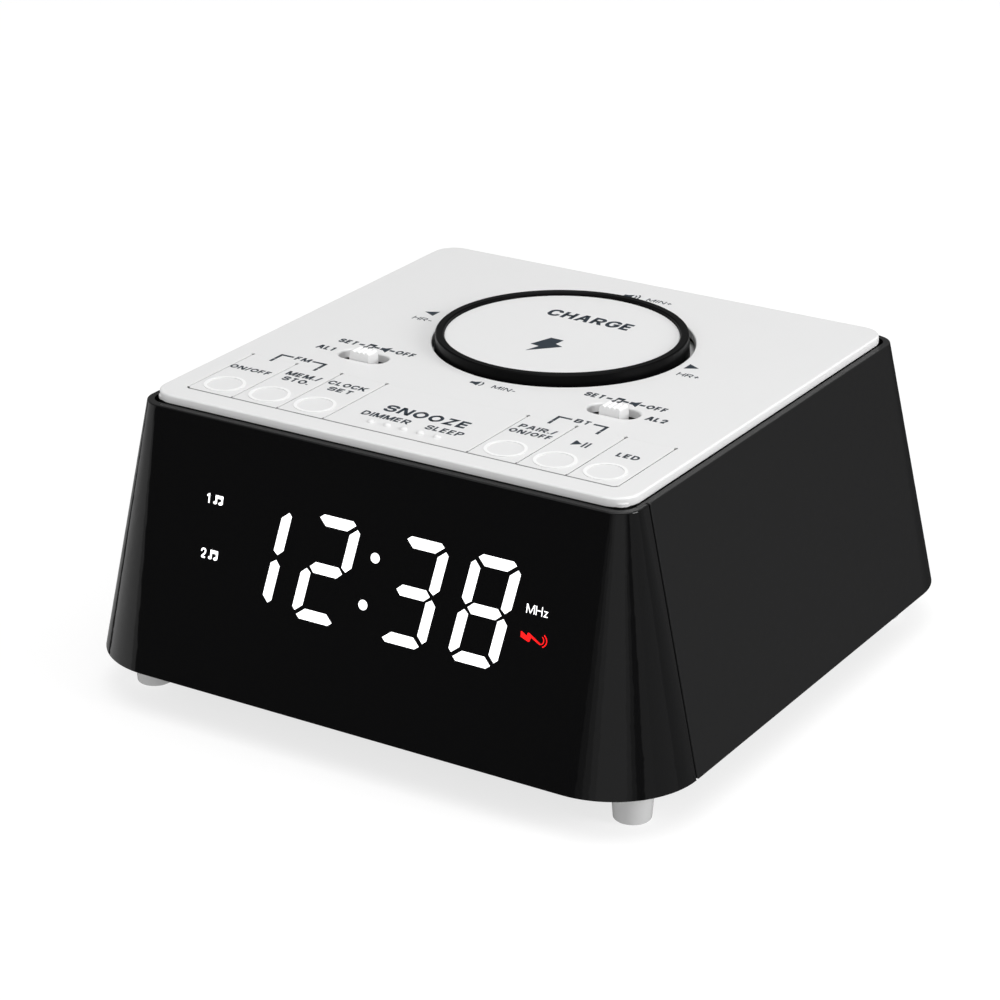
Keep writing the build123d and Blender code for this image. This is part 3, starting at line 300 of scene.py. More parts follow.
# Painted shade: everything of the lid below just above the rim's top is painted black, which
# darkens the lid's lower skirt and the switch pockets, and the slits round the keys are painted
# black too.
# The bevels along the front of the keys are painted grey as shade.
SHADE_BLACK = (0.008, 0.008, 0.008)
BEVEL_SHADE_GREY = (0.3, 0.3, 0.3)
cad_low, cad_high = cad_box
rim_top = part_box("housing_shell")[1].z
shade_high = (cad_high[0], cad_high[1], rim_top + 0.15 * MM)
# Painted shade: the lid is painted black below just above the rim's top.
painted_within(materials["lid_white"], cad_low, shade_high, SHADE_BLACK)
keys_low = Vector((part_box("key_power")[0].x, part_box("key_power")[0].y, rim_top))
keys_high = Vector((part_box("key_light")[1].x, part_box("key_power")[1].y, LID_TOP))
margin = Vector((0.6, 0.6, 0)) * MM
slit_depth = Vector((0, 0, 0.3)) * MM
bevels_high = (keys_high.x, keys_low.y + 0.9 * MM, LID_TOP - 0.02 * MM)
for white in (materials["lid_white"], materials["key_white"]):
    # Painted shade: the slits round the keys are painted black from a little below the key tops.
    painted_within(white, keys_low - margin, keys_high + margin - slit_depth, SHADE_BLACK)
    # Painted shade: the bevels along the front of the keys are painted grey.
    painted_within(white, keys_low - margin, bevels_high, BEVEL_SHADE_GREY)
for part in frame["record"]["subparts"]:
    mesh = frame["nodes"][part["node"]].data
    mesh.materials.clear()
    mesh.materials.append(materials[part["material_slot"]])

slate_ink = moulded("slate_ink", SLATE, 0.45, 9000, FINEST_RELIEF, 0.06)
white_ink = moulded("white_ink", (0.97, 0.97, 0.97), 0.3, 9000, FINEST_RELIEF, 0.005)
white_light = glowing("white_light", (1.0, 1.0, 1.0), 1.25)
red_light = glowing("red_light", (1.0, 0.0, 0.0), 0.9)
gold = rubbed_metal("gold_plating", (0.83, 0.6, 0.25), 0.25)


# --- Flat shapes, as lists of outlines in millimetres ---------------------------------


def box_shape(x_low, x_high, y_low, y_high):
    """A rectangle."""
    return [[(x_low, y_low), (x_high, y_low), (x_high, y_high), (x_low, y_high)]]


def stroke(start, end, width):
    """A straight bar of that width from start to end."""
    a, b = Vector(start), Vector(end)
    side = (b - a).orthogonal().normalized() * (width / 2)
    return [[tuple(a + side), tuple(a - side), tuple(b - side), tuple(b + side)]]


def ellipse(x, y, radius_x, radius_y, turn=0.0, steps=28):
    """A filled ellipse, turned anticlockwise by that many degrees."""
    outline = []
    for i in range(steps):
        t = 2 * math.pi * i / steps
        point = Vector((radius_x * math.cos(t), radius_y * math.sin(t)))
        point.rotate(Matrix.Rotation(math.radians(turn), 2))
        outline.append((x + point.x, y + point.y))
    return [outline]


def arc(x, y, radius, width, start, end, steps=14):
    """A curved bar round (x, y) between two angles in degrees."""
    angles = [math.radians(start + (end - start) * i / steps) for i in range(steps + 1)]
    outer, inner = (
        [(x + edge * math.cos(t), y + edge * math.sin(t)) for t in angles]
        for edge in (radius + width / 2, radius - width / 2)
    )
    return [outer + inner[::-1]]


def fitted(shape, x_low, x_high, y_low, y_high):
    """A shape drawn in a unit square, stretched to a box."""
    wide, tall = x_high - x_low, y_high - y_low
    return [[(x_low + wide * x, y_low + tall * y) for x, y in outline] for outline in shape]


HORN = [[(0, 0.3), (0.42, 0.3), (1, 0), (1, 1), (0.42, 0.7), (0, 0.7)]]
ARROW_RIGHT = [[(0, 0), (1, 0.5), (0, 1)]]
ARROW_LEFT = [[(1, 0), (1, 1), (0, 0.5)]]
TWO_NOTES = (
    ellipse(0.19, 0.17, 0.19, 0.16, 12)
    + ellipse(0.74, 0.16, 0.2, 0.16, 12)
    + [[(0.2, 0.18), (0.38, 0.18), (0.38, 0.9), (0.2, 0.9)]]
    + [[(0.79, 0.18), (0.98, 0.18), (0.98, 0.9), (0.79, 0.9)]]
    + [[(0.2, 0.64), (0.98, 0.64), (0.98, 0.98), (0.2, 0.98)]]
)

# Letters as centre lines in a unit square. Each has its width as a share of the cap height, its
# runs, whose points may end with a corner radius as a share of the width, and its diagonals,
# which end level like cut type.
ROUND = 0.5
LETTERS = {
    "A": (
        0.84,
        [[(0.22, 0.3), (0.78, 0.3)]],
        [((0.0, 0.0), (0.46, 1.0)), ((1.0, 0.0), (0.54, 1.0))],
    ),
    "B": (
        0.76,
        [
            [(0.0, 0.0), (0.0, 1.0), (0.94, 1.0, ROUND), (0.94, 0.53, ROUND), (0.0, 0.53)],
            [(0.4, 0.53), (1.0, 0.53, ROUND), (1.0, 0.0, ROUND), (0.0, 0.0)],
        ],
        [],
    ),
    "C": (
        0.8,
        [
            [
                (1.0, 0.7), (1.0, 1.0, ROUND), (0.0, 1.0, ROUND),
                (0.0, 0.0, ROUND), (1.0, 0.0, ROUND), (1.0, 0.3),
            ]
        ],
        [],
    ),
    "D": (0.8, [[(0.0, 0.0), (0.0, 1.0), (1.0, 1.0, ROUND), (1.0, 0.0, ROUND), (0.0, 0.0)]], []),
    "E": (
        0.68,
        [[(1.0, 1.0), (0.0, 1.0), (0.0, 0.0), (1.0, 0.0)], [(0.0, 0.52), (0.92, 0.52)]],
        [],
    ),
    "F": (0.62, [[(1.0, 1.0), (0.0, 1.0), (0.0, -0.1)], [(0.0, 0.48), (0.9, 0.48)]], []),
    "G": (
        0.84,
        [
            [
                (1.0, 0.72), (1.0, 1.0, ROUND), (0.0, 1.0, ROUND), (0.0, 0.0, ROUND),
                (1.0, 0.0, ROUND), (1.0, 0.46), (0.55, 0.46),
            ]
        ],
        [],
    ),
    "H": (
        0.78,
        [[(0.0, -0.1), (0.0, 1.1)], [(1.0, -0.1), (1.0, 1.1)], [(0.0, 0.52), (1.0, 0.52)]],
        [],
    ),
    "I": (0.2, [[(0.5, -0.1), (0.5, 1.1)]], []),
    "K": (
        0.8,
        [[(0.0, -0.1), (0.0, 1.1)]],
        [((0.12, 0.38), (0.98, 1.0)), ((0.38, 0.6), (1.0, 0.0))],
    ),
    "L": (0.62, [[(0.0, 1.1), (0.0, 0.0), (1.0, 0.0)]], []),
    "M": (
        0.98,
        [[(0.0, -0.1), (0.0, 1.1)], [(1.0, -0.1), (1.0, 1.1)]],
        [((0.04, 1.0), (0.5, 0.05)), ((0.96, 1.0), (0.5, 0.05))],
    ),
    "N": (
        0.8,
        [[(0.0, -0.1), (0.0, 1.1)], [(1.0, -0.1), (1.0, 1.1)]],
        [((0.04, 1.0), (0.96, 0.0))],
    ),
    "O": (
        0.86,
        [
            [(0.65, 1.0), (0.0, 1.0, ROUND), (0.0, 0.0, ROUND), (0.65, 0.0)],
            [(0.35, 1.0), (1.0, 1.0, ROUND), (1.0, 0.0, ROUND), (0.35, 0.0)],
        ],
        [],
    ),
    "P": (
        0.74,
        [[(0.0, -0.1), (0.0, 1.0), (1.0, 1.0, ROUND), (1.0, 0.43, ROUND), (0.0, 0.43)]],
        [],
    ),
    "R": (
        0.78,
        [[(0.0, -0.1), (0.0, 1.0), (0.98, 1.0, ROUND), (0.98, 0.46, ROUND), (0.0, 0.46)]],
        [((0.52, 0.46), (1.0, 0.0))],
    ),
    "S": (
        0.76,
        [
            [
                (1.0, 0.72), (1.0, 1.0, ROUND), (0.0, 1.0, ROUND), (0.0, 0.52, ROUND),
                (1.0, 0.52, ROUND), (1.0, 0.0, ROUND), (0.0, 0.0, ROUND), (0.0, 0.28),
            ]
        ],
        [],
    ),
    "T": (0.72, [[(0.0, 1.0), (1.0, 1.0)], [(0.5, -0.1), (0.5, 1.0)]], []),
    "Z": (0.74, [[(0.0, 1.0), (1.0, 1.0)], [(0.0, 0.0), (1.0, 0.0)]], [((0.04, 0.0), (0.96, 1.0))]),
    "z": (
        0.56,
        [[(0.0, 0.62), (1.0, 0.62)], [(0.0, 0.0), (1.0, 0.0)]],
        [((0.06, 0.0), (0.94, 0.64))],
    ),
    "1": (0.42, [[(1.0, -0.1), (1.0, 1.1)], [(0.0, 0.78), (1.0, 0.98)]], []),
    "2": (
        0.7,
        [
            [(0.0, 0.68), (0.0, 1.0, ROUND), (1.0, 1.0, ROUND), (1.0, 0.52, 0.4), (0.12, 0.1)],
            [(0.0, 0.0), (1.0, 0.0)],
        ],
        [],
    ),
    ".": (0.2, [[(0.5, -0.1), (0.5, 0.12)]], []),
    "/": (0.4, [], [((0.0, 0.0), (1.0, 1.0))]),
    "+": (0.62, [[(0.0, 0.46), (1.0, 0.46)], [(0.5, 0.1), (0.5, 0.82)]], []),
    "-": (0.5, [[(0.0, 0.42), (1.0, 0.42)]], []),
}
LETTER_GAP = 0.13
CORNER_STEPS = 5


def with_round_corners(points):
    """Replaces each point that names a radius by an arc that touches both its runs."""
    line = []
    for i, (*corner, radius) in enumerate(points):
        corner = Vector(corner)
        if not radius:
            line.append(corner)
            continue
        back = Vector(points[i - 1][:2]) - corner
        on = Vector(points[i + 1][:2]) - corner
        # A run with a round corner at both ends is shared between them.
        back_limit = back.length * (0.5 if points[i - 1][2] else 1)
        on_limit = on.length * (0.5 if points[i + 1][2] else 1)
        reach = min(radius, back_limit, on_limit)
        start = corner + back.normalized() * reach
        end = corner + on.normalized() * reach
        for step in range(CORNER_STEPS + 1):
            turn = math.radians(90 * step / CORNER_STEPS)
            from_start = (start - corner) * (1 - math.sin(turn))
            from_end = (end - corner) * (1 - math.cos(turn))
            line.append(corner + from_start + from_end)
    return [p for i, p in enumerate(line) if i == 0 or (p - line[i - 1]).length > 1e-4]


def ribbon(line, width):
    """Quads along a line, mitred where it turns."""
    sections = []
    for i, point in enumerate(line):
        before = (point - line[i - 1]).normalized() if i else None
        after = (line[i + 1] - point).normalized() if i < len(line) - 1 else None
        before = before or after
        after = after or before
        along = (before + after).normalized()
        side = Vector((-along.y, along.x)) * (width / 2 / max(0.6, along.dot(after)))
        sections.append((point + side, point - side))
    quads = []
    for (left_a, right_a), (left_b, right_b) in zip(sections, sections[1:]):
        quads.append([tuple(left_a), tuple(right_a), tuple(right_b), tuple(left_b)])
    return quads


def drawn_letter(character, x, y, width, height, weight):
    """One letter's outlines in a box, its centre lines kept half a stroke inside."""
    _, runs, diagonals = LETTERS[character]
    inset_w = max(width - weight, 0.0)
    inset_h = height - weight
    outlines = []
    for run in runs:
        points = []
        for across, up, *corner in run:
            reach = corner[0] * width if corner else 0.0
            level = min(max(weight / 2 + up * inset_h, 0.0), height)
            points.append((x + weight / 2 + across * inset_w, y + level, reach))
        outlines += ribbon(with_round_corners(points), weight)
    for (low_x, low_y), (high_x, high_y) in diagonals:
        a = Vector((x + weight / 2 + low_x * inset_w, y + low_y * height))
        b = Vector((x + weight / 2 + high_x * inset_w, y + high_y * height))
        half = min(weight / 2 * (b - a).length / abs(b.y - a.y), weight * 0.85)
        outlines.append(
            [(a.x - half, a.y), (a.x + half, a.y), (b.x + half, b.y), (b.x - half, b.y)]
        )
    return outlines


def words(text, x_low, x_high, y_low, y_high, weight=0.22):
    """A word's outlines, spread over a box; weight is the stroke's share of the height."""
    height = y_high - y_low
    drawn = weight * height
    natural = sum(max(LETTERS[c][0], weight) for c in text) + LETTER_GAP * (len(text) - 1)
    stretch = (x_high - x_low) / (natural * height)
    outlines = []
    x = x_low
    for c in text:
        width = max(LETTERS[c][0], weight) * height * stretch
        outlines += drawn_letter(c, x, y_low, width, height, drawn)
        x += width + LETTER_GAP * height * stretch
    return outlines


# --- Printed and lit pieces ---------------------------------------------------------------

# How far prints and lit shapes stand off their surface, how deep they reach into it, and the
# distance within which corners are joined, all in millimetres.
INK_T = 0.03
THIN_T = 0.02
SINK = 0.01
WELD = 0.0005


def added(name, bm, material, body):
    """Makes a piece of the bmesh, riding on a body."""
    mesh = bpy.data.meshes.new(name)
    bm.to_mesh(mesh)
    bm.free()
    mesh.materials.append(material)
    piece = bpy.data.objects.new(name, mesh)
    bpy.context.scene.collection.objects.link(piece)
    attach(piece, body)


def laid_on(name, surface, items, material, body, thickness=INK_T):
    """One piece of thin closed solids: every outline in items, raised off a surface."""
    flat = bmesh.new()
    for outline in items:
        flat.faces.new([flat.verts.new((x, y, 0)) for x, y in outline])
    bmesh.ops.remove_doubles(flat, verts=flat.verts, dist=WELD)
    flat.normal_update()
    flat.verts.index_update()
    bm = bmesh.new()
    bases = [bm.verts.new((v.co.x, v.co.y, -SINK)) for v in flat.verts]
    tops = [bm.verts.new((v.co.x, v.co.y, thickness)) for v in flat.verts]
    for face in flat.faces:
        if face.normal.z < 0:
            face.normal_flip()
        ring = [v.index for v in face.verts]
        bm.faces.new([tops[i] for i in ring])
        bm.faces.new([bases[i] for i in reversed(ring)])
        # Walls stand on the outer edges only, in this order, so every run makes the same mesh.
        for edge, i, j in zip(face.edges, ring, ring[1:] + ring[:1]):
            if len(edge.link_faces) == 1:
                bm.faces.new((bases[i], bases[j], tops[j], tops[i]))
    flat.free()
    bmesh.ops.recalc_face_normals(bm, faces=bm.faces)
    bmesh.ops.scale(bm, verts=bm.verts, vec=(MM, MM, MM))
    bmesh.ops.transform(bm, verts=bm.verts, matrix=surface)
    added(name, bm, material, body)


BRACKET_LINE = 0.76
# What a bracket leaves free on each side of the keys' hinge line.
HINGE_GAP = 0.1


def bracket(left, right, foot_y, top_y, gap_left, gap_right):
    """The bracket that ties two keys together, open for its word: lid part, and foot per key."""
    hinge_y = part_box("key_power")[1].y / MM
    lines = (
        ((left, hinge_y + HINGE_GAP), (left, top_y)),
        ((left - BRACKET_LINE / 2, top_y), (gap_left, top_y)),
        ((right, hinge_y + HINGE_GAP), (right, top_y)),
        ((gap_right, top_y), (right + BRACKET_LINE / 2, top_y)),
    )
    lid = []
    for start, end in lines:
        lid += stroke(start, end, BRACKET_LINE)
    feet = [stroke((x, foot_y), (x, hinge_y - HINGE_GAP), BRACKET_LINE) for x in (left, right)]
    return lid, feet


radio_bracket, radio_feet = bracket(-52.0, -39.3, -33.3, -28.3, -48.6, -43.0)
music_bracket, music_feet = bracket(26.0, 38.7, -33.3, -28.4, 29.4, 35.2)

# Each key's own legends, which sink with the key.
key_legends = {
    "power": [*words("ON/OFF", -58.2, -46.65, -41.75, -39.55), *radio_feet[0]],
    "memory": [
        *words("MEM./", -43.8, -34.3, -38.9, -36.4),
        *words("STO.", -42.7, -35.1, -42.2, -39.8),
        *radio_feet[1],
    ],
    "clock_set": [
        *words("CLOCK", -31.8, -21.2, -38.7, -36.35),
        *words("SET", -29.6, -22.8, -42.2, -39.9),
    ],
    "snooze": [
        *words("SNOOZE", -11.1, 11.7, -46.4, -42.4, 0.21),
        *words("DIMMER", -14.0, -1.0, -51.0, -48.4, 0.2),
        *words("SLEEP", 3.5, 13.4, -51.1, -48.5, 0.2),
    ],
    "pair": [
        *words("PAIR./", 21.1, 30.7, -38.9, -36.6),
        *words("ON/OFF", 20.4, 31.5, -42.2, -39.9),
        *music_feet[0],
    ],
    "play": [
        *fitted(ARROW_RIGHT, 36.9, 39.1, -42.0, -38.9),
        *box_shape(39.5, 40.0, -42.0, -38.9),
        *box_shape(40.5, 41.0, -42.0, -38.9),
        *music_feet[1],
    ],
    "light": [*words("LED", 48.9, 54.5, -42.6, -40.2)],
}
for key, shapes in key_legends.items():
    laid_on(f"legend_{key}", LID, shapes, slate_ink, f"{key}_key")

# The raised ring on each narrow key is brightened by a white print.
RING_Y = -51.75
RING_RADIUS = 4.6
RING_WIDTH = 0.75
for key in key_legends:
    if key != "snooze":
        key_low, key_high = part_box(f"key_{key}")
        middle = (key_low.x + key_high.x) / 2 / MM
        circle = []
        for start in (0, 180):
            circle += arc(middle, RING_Y, RING_RADIUS, RING_WIDTH, start, start + 180, 40)
        ring_top = level_at(key_high.z)
        laid_on(f"ring_{key}", ring_top, circle, white_ink, f"{key}_key", THIN_T)


def switch_row(shift):
    """The four settings of a sliding switch, printed behind it, shifted along x."""
    y_low, y_high = -13.4, -10.9
    middle = (y_low + y_high) / 2
    dashes = []
    for x in (-39.7, -35.3, -30.9):
        dashes += stroke((x - 0.7 + shift, middle), (x + 0.7 + shift, middle), 0.8)
    return [
        *words("SET", -46.2 + shift, -41.0 + shift, y_low, y_high),
        *words("OFF", -29.7 + shift, -24.3 + shift, y_low, y_high),
        *fitted(TWO_NOTES, -38.6 + shift, -36.1 + shift, y_low - 0.3, y_high + 0.4),
        *fitted(HORN, -34.2 + shift, -31.9 + shift, y_low - 0.5, y_high + 0.6),
        *dashes,
    ]


def loudness(x, y, waves):
    """A horn with its sound waves, for quieter or louder."""
    shapes = fitted(HORN, x, x + 2.3, y - 1.4, y + 1.4)
    for i in range(waves):
        shapes += arc(x + 1.7, y, 1.6 + 0.95 * i, 0.4, -46, 46)
    return shapes


lid_legends = [
    *radio_bracket,
    *words("FM", -47.9, -43.6, -29.5, -27.2),
    *music_bracket,
    *words("BT", 30.3, 34.4, -29.6, -27.3),
    *switch_row(0),
    *switch_row(69.6),
    *words("AL1", -48.4, -43.5, -19.7, -17.2),
    *words("AL2", 43.4, 48.7, -19.7, -17.2),
    *fitted(ARROW_LEFT, -39.9, -36.6, 14.6, 18.0),
    *words("HR-", -40.1, -34.6, 10.3, 12.3, 0.15),
    *fitted(ARROW_RIGHT, 34.8, 38.0, 14.6, 18.0),
    *words("HR+", 35.3, 41.1, 9.8, 11.9, 0.15),
    *loudness(-3.5, -19.9, 1),
    *words("MIN-", 2.6, 9.0, -20.8, -18.9, 0.16),
    *loudness(-3.9, 53.6, 2),
    *words("MIN+", 2.8, 9.9, 52.7, 54.6, 0.16),
]
laid_on("legends_lid", LID, lid_legends, slate_ink, "housing")

BOLT = [
    [
        (-0.9, 12.6), (2.7, 12.5), (2.35, 9.4), (4.75, 8.4),
        (-1.6, 1.8), (-0.4, 6.0), (-2.95, 6.35),
    ]
]
pad_prints = [*BOLT, *words("CHARGE", -11.2, 12.6, 26.6, 31.2)]
laid_on("pad_print", PAD, pad_prints, slate_ink, "pad")


# --- The lit display -----------------------------------------------------------------------

# Where each segment sits in its digit: (left to right, bottom to top), each from 0 to 1.
SEGMENT_SPOTS = {
    "a": (0.5, 1.0), "b": (1.0, 0.75), "c": (1.0, 0.25), "d": (0.5, 0.0),
    "e": (0.0, 0.25), "f": (0.0, 0.75), "g": (0.5, 0.5),
}
# The segments that glow in each digit.
LIT = ("bc", "abged", "abgcd", "abcdefg")


MOST_BAR_CORNERS = 12


def light_guides():
    """Front outlines of the display's light guides, in millimetres on the front cover."""
    to_front = FRONT.inverted()
    source = frame["nodes"]["display_segments"].data
    bm = bmesh.new()
    bm.from_mesh(source)
    bmesh.ops.remove_doubles(bm, verts=bm.verts, dist=1e-6)
    bmesh.ops.transform(bm, verts=bm.verts, matrix=Matrix.Scale(1 / MM, 4) @ to_front)
    bmesh.ops.dissolve_limit(
        bm,
        angle_limit=math.radians(1),
        verts=bm.verts,
        edges=bm.edges,
        use_dissolve_boundaries=False,
    )
    bm.normal_update()
    outlines = []
    for face in bm.faces:
        if face.normal.z > 0.99:
            outlines.append([(v.co.x, v.co.y) for v in face.verts])
    bm.free()
    return outlines


def centre(outline):
    """Mean of an outline's corners."""
    return sum((Vector(p) for p in outline), Vector((0, 0))) / len(outline)


def is_dot(outline):
    """Round guides have more corners than the bars have."""
    return len(outline) > MOST_BAR_CORNERS


guides = light_guides()
dots = [o for o in guides if is_dot(o)]
bars = sorted((o for o in guides if not is_dot(o)), key=lambda o: centre(o).y)
lowest, highest = centre(bars[0]).y, centre(bars[-1]).y
bottom_bars = sorted((o for o in bars if centre(o).y < lowest + 1), key=lambda o: centre(o).x)
top_bars = sorted((o for o in bars if centre(o).y > highest - 1), key=lambda o: centre(o).x)
lit_shapes = list(dots)
for low_bar, high_bar, letters in zip(bottom_bars, top_bars, LIT):
    start, end = centre(low_bar), centre(high_bar)
    half_width = (max(x for x, _ in low_bar) - min(x for x, _ in low_bar)) / 2
    for letter in letters:
        across, up = SEGMENT_SPOTS[letter]
        spot = start.lerp(end, up) + Vector(((across - 0.5) * 2 * half_width, 0))
        lit_shapes.append(min(bars, key=lambda o: (centre(o) - spot).length))
laid_on("lit_digits", FRONT, lit_shapes, white_light, "housing", THIN_T)


def alarm_mark(number, x_low, x_high, y_low, y_high):
    """An alarm's number beside its two notes."""
    digit = words(number, x_low, x_high, y_low, y_high, 0.17)
    return [*digit, *fitted(TWO_NOTES, -42.15, -39.4, y_low, y_high)]


white_marks = [
    *words("MHz", 43.9, 49.5, -26.4, -24.3, 0.105),
    *alarm_mark("1", -44.2, -43.2, -19.9, -17.6),
    *alarm_mark("2", -44.3, -42.8, -33.1, -30.7),
]
laid_on("lit_marks", FRONT, white_marks, white_light, "housing", THIN_T)
charge_mark = [
    [
        (43.15, -30.85), (43.4, -30.75), (44.75, -31.5), (44.95, -30.75),
        (45.25, -30.7), (48.45, -32.5), (48.5, -32.75), (48.2, -32.8),
        (45.9, -31.7), (45.55, -32.7), (45.25, -32.75), (43.25, -32.05),
    ],
    *arc(48.2, -31.75, 0.95, 0.22, -65, 60),
    *arc(48.4, -31.75, 1.5, 0.26, -68, 62),
]
laid_on("lit_charge_mark", FRONT, charge_mark, red_light, "housing", THIN_T)


# --- Contacts inside the sockets -------------------------------------------------------------


def rounded_bar(name, low, high, bevel, material, body):
    """A bar with rounded edges between two corners, in metres."""
    bm = bmesh.new()
    bmesh.ops.create_cube(bm, size=1)
    size = Vector(high) - Vector(low)
    bmesh.ops.scale(bm, verts=bm.verts, vec=size)
    bmesh.ops.translate(bm, verts=bm.verts, vec=(Vector(low) + Vector(high)) / 2)
    bmesh.ops.bevel(bm, geom=bm.edges[:], offset=bevel, segments=3, profile=0.5, affect="EDGES")
    added(name, bm, material, body)


def turned(name, profile, at, material, body, steps=48):
    """A closed profile of (radius, y) points in millimetres, turned round y through a point."""
    bm = bmesh.new()
    rings = []
    for step in range(steps):
        turn = 2 * math.pi * step / steps
        x, z = math.cos(turn), math.sin(turn)
        rings.append([bm.verts.new((r * x, y, r * z)) for r, y in profile])
    for ring, following in zip(rings, rings[1:] + rings[:1]):
        for i in range(len(profile)):
            j = (i + 1) % len(profile)
            bm.faces.new((ring[i], ring[j], following[j], following[i]))
    bmesh.ops.remove_doubles(bm, verts=bm.verts, dist=WELD)
    bmesh.ops.recalc_face_normals(bm, faces=bm.faces)
    bmesh.ops.scale(bm, verts=bm.verts, vec=(MM, MM, MM))
    bmesh.ops.translate(bm, verts=bm.verts, vec=at)
    for face in bm.faces:
        face.smooth = True
    added(name, bm, material, body)


SOCKET_Z = 24.0 * MM
# The metal of the round sockets: (radius, distance in front of the socket's face).
SLEEVE = [
    (0.3, -1.3), (0.3, -0.92), (0.75, -0.92), (1.04, -1.15),
    (1.04, -9.0), (1.01, -9.0), (1.01, -1.3),
]
COLLAR = [
    (1.85, -3.0), (1.85, 0.02), (2.0, 0.14), (2.3, 0.14),
    (2.45, 0.02), (2.45, -0.02), (1.82, -0.02), (1.82, -3.0),
]


def socket_face(node):
    """Middle of a socket's outer face, at the height that all the sockets share."""
    low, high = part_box(node)
    return Vector(((low.x + high.x) / 2, high.y, SOCKET_Z))


turned("dc_pin_sleeve", SLEEVE, socket_face("dc_inlet"), materials["steel"], "housing")
turned("audio_collar", COLLAR, socket_face("audio_jack"), materials["steel"], "housing")
usb_face = socket_face("usb_socket")
rounded_bar(
    "usb_tongue_tip",
    usb_face + Vector((-5.65, -6.0, 0.25)) * MM,
    usb_face + Vector((5.65, -0.9, 2.25)) * MM,
    0.2 * MM,
    materials["segment_white"],
    "housing",
)
for i in range(4):
    middle = -3.75 + 2.5 * i
    rounded_bar(
        f"usb_contact_{i}",
        usb_face + Vector((middle - 0.5, -5.8, 0.13)) * MM,
        usb_face + Vector((middle + 0.5, -1.4, 0.35)) * MM,
        0.08 * MM,
        gold,
        "housing",
    )


# --- Floor, light and camera ------------------------------------------------------------------


def make_floor():
    """A pale floor, left out of reflections so that gloss black stays deep."""
    mesh = bpy.data.meshes.new("floor")
    bm = bmesh.new()
    bmesh.ops.create_circle(bm, cap_ends=True, segments=96, radius=6.0)
    bm.to_mesh(mesh)
    bm.free()
    material, tree, shader = principled("pale_floor", (0.3, 0.3, 0.3), 0.9, specular_ior_level=0.1)
    shader.inputs["Emission Color"].default_value = (1, 1, 1, 1)
    shader.inputs["Emission Strength"].default_value = 0.75
    tint(tree, shader, noise(tree, 8), (0.297, 0.297, 0.297), (0.303, 0.303, 0.303))
    mesh.materials.append(material)
    floor = bpy.data.objects.new("floor", mesh)
    floor.visible_glossy = False
    bpy.context.scene.collection.objects.link(floor)


def make_sky():
    """Studio surroundings: dim at the horizon and brighter overhead, plain white behind."""
    world = bpy.data.worlds.new("studio")
    bpy.context.scene.world = world
    world.use_nodes = True
    tree = world.node_tree
    tree.nodes.clear()
    where = tree.nodes.new("ShaderNodeTexCoord")
    split = tree.nodes.new("ShaderNodeSeparateXYZ")
    ramp = tree.nodes.new("ShaderNodeValToRGB")
    stops = ramp.color_ramp.elements
    stops[0].position = 0.0
    stops[0].color = (0.05, 0.05, 0.05, 1)
    stops[1].position = 1.0
    stops[1].color = (0.9, 0.9, 0.9, 1)
    for height, level in ((0.06, 0.07), (0.3, 0.2), (0.5, 0.34)):
        stop = stops.new(height)
        stop.color = (level, level, level, 1)
    surround = tree.nodes.new("ShaderNodeBackground")
    backdrop = tree.nodes.new("ShaderNodeBackground")
    backdrop.inputs["Color"].default_value = (1, 1, 1, 1)
    ray = tree.nodes.new("ShaderNodeLightPath")
    mix = tree.nodes.new("ShaderNodeMixShader")
    output = tree.nodes.new("ShaderNodeOutputWorld")
    tree.links.new(where.outputs["Generated"], split.inputs["Vector"])
    tree.links.new(split.outputs["Z"], ramp.inputs["Fac"])
    tree.links.new(ramp.outputs["Color"], surround.inputs["Color"])
    tree.links.new(ray.outputs["Is Camera Ray"], mix.inputs["Fac"])
    tree.links.new(surround.outputs["Background"], mix.inputs[1])
    tree.links.new(backdrop.outputs["Background"], mix.inputs[2])
    tree.links.new(mix.outputs["Shader"], output.inputs["Surface"])


def softbox(name, at, target, width, height, power):
    """A rectangular area light aimed at a point."""
    lamp = bpy.data.lights.new(name, "AREA")
    lamp.shape = "RECTANGLE"
    lamp.size = width
    lamp.size_y = height
    lamp.energy = power
    light = bpy.data.objects.new(name, lamp)
    light.location = at
    light.rotation_euler = (Vector(target) - Vector(at)).to_track_quat("-Z", "Y").to_euler()
    light.visible_camera = False
    bpy.context.scene.collection.objects.link(light)


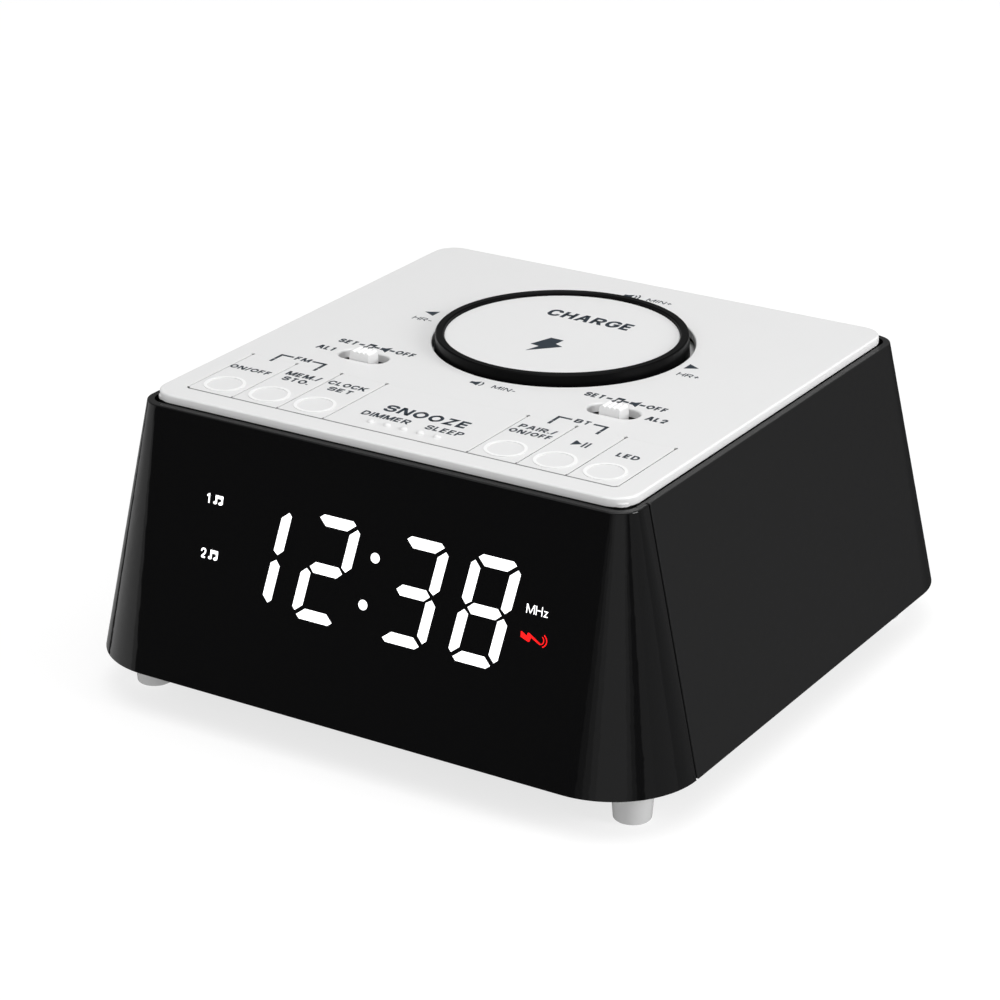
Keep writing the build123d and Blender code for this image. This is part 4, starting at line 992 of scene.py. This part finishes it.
make_floor()
make_sky()
middle_of_part = (Vector(cad_box[0]) + Vector(cad_box[1])) / 2
softbox("overhead", (0.2, -0.1, 1.3), middle_of_part, 1.2, 1.0, 7.0)
softbox("right_key", (1.25, 0.15, 0.5), middle_of_part, 0.5, 0.5, 8.5)
softbox("front_fill", (-0.3, -1.1, 0.75), middle_of_part, 0.9, 0.4, 1.3)


PANEL_LOW = -0.5
PANEL_HIGH = 0.2
PANEL_DISTANCE = 1.2
# The panels that the gloss corners mirror: (azimuth, next azimuth, radiance), in degrees from
# -Y towards +X. Neighbours make one panel whose edges fade in steps.
PANELS = (
    (-140, -106, 0.3), (-99, -51, 0.76), (-51, -45, 0.45),
    (-7, 1, 0.12), (1, 8, 0.28), (8, 15, 0.45), (15, 48, 0.58), (48, 53, 0.42), (53, 58, 0.2),
    (67, 78, 0.34), (78, 108, 0.31), (108, 152, 0.19),
)


def panel(name, azimuth_low, azimuth_high, radiance):
    """An upright panel between two azimuths, facing the part."""
    azimuth = math.radians((azimuth_low + azimuth_high) / 2)
    half = math.radians((azimuth_high - azimuth_low) / 2)
    width = 2 * PANEL_DISTANCE * math.tan(half)
    height = PANEL_HIGH - PANEL_LOW
    x = PANEL_DISTANCE * math.sin(azimuth)
    y = -PANEL_DISTANCE * math.cos(azimuth)
    at = Vector((x, y, (PANEL_LOW + PANEL_HIGH) / 2))
    softbox(name, at, (0, 0, at.z), width, height, radiance * math.pi * width * height)


for start, end, radiance in PANELS:
    panel(f"panel_{start + 180}", start, end, radiance)

CAMERA_AT = (0.38083, -0.62424, 0.34472)
CAMERA_AZIMUTH = math.radians(31.90)
CAMERA_ELEVATION = math.radians(22.66)
lens = bpy.data.cameras.new("camera")
lens.lens = 116.58
lens.sensor_width = 36.0
lens.clip_start = 0.01
camera = bpy.data.objects.new("camera", lens)
camera.location = CAMERA_AT
camera.rotation_euler = (math.pi / 2 - CAMERA_ELEVATION, 0, CAMERA_AZIMUTH)
bpy.context.scene.collection.objects.link(camera)
bpy.context.scene.camera = camera
bpy.context.scene.view_settings.view_transform = "Standard"
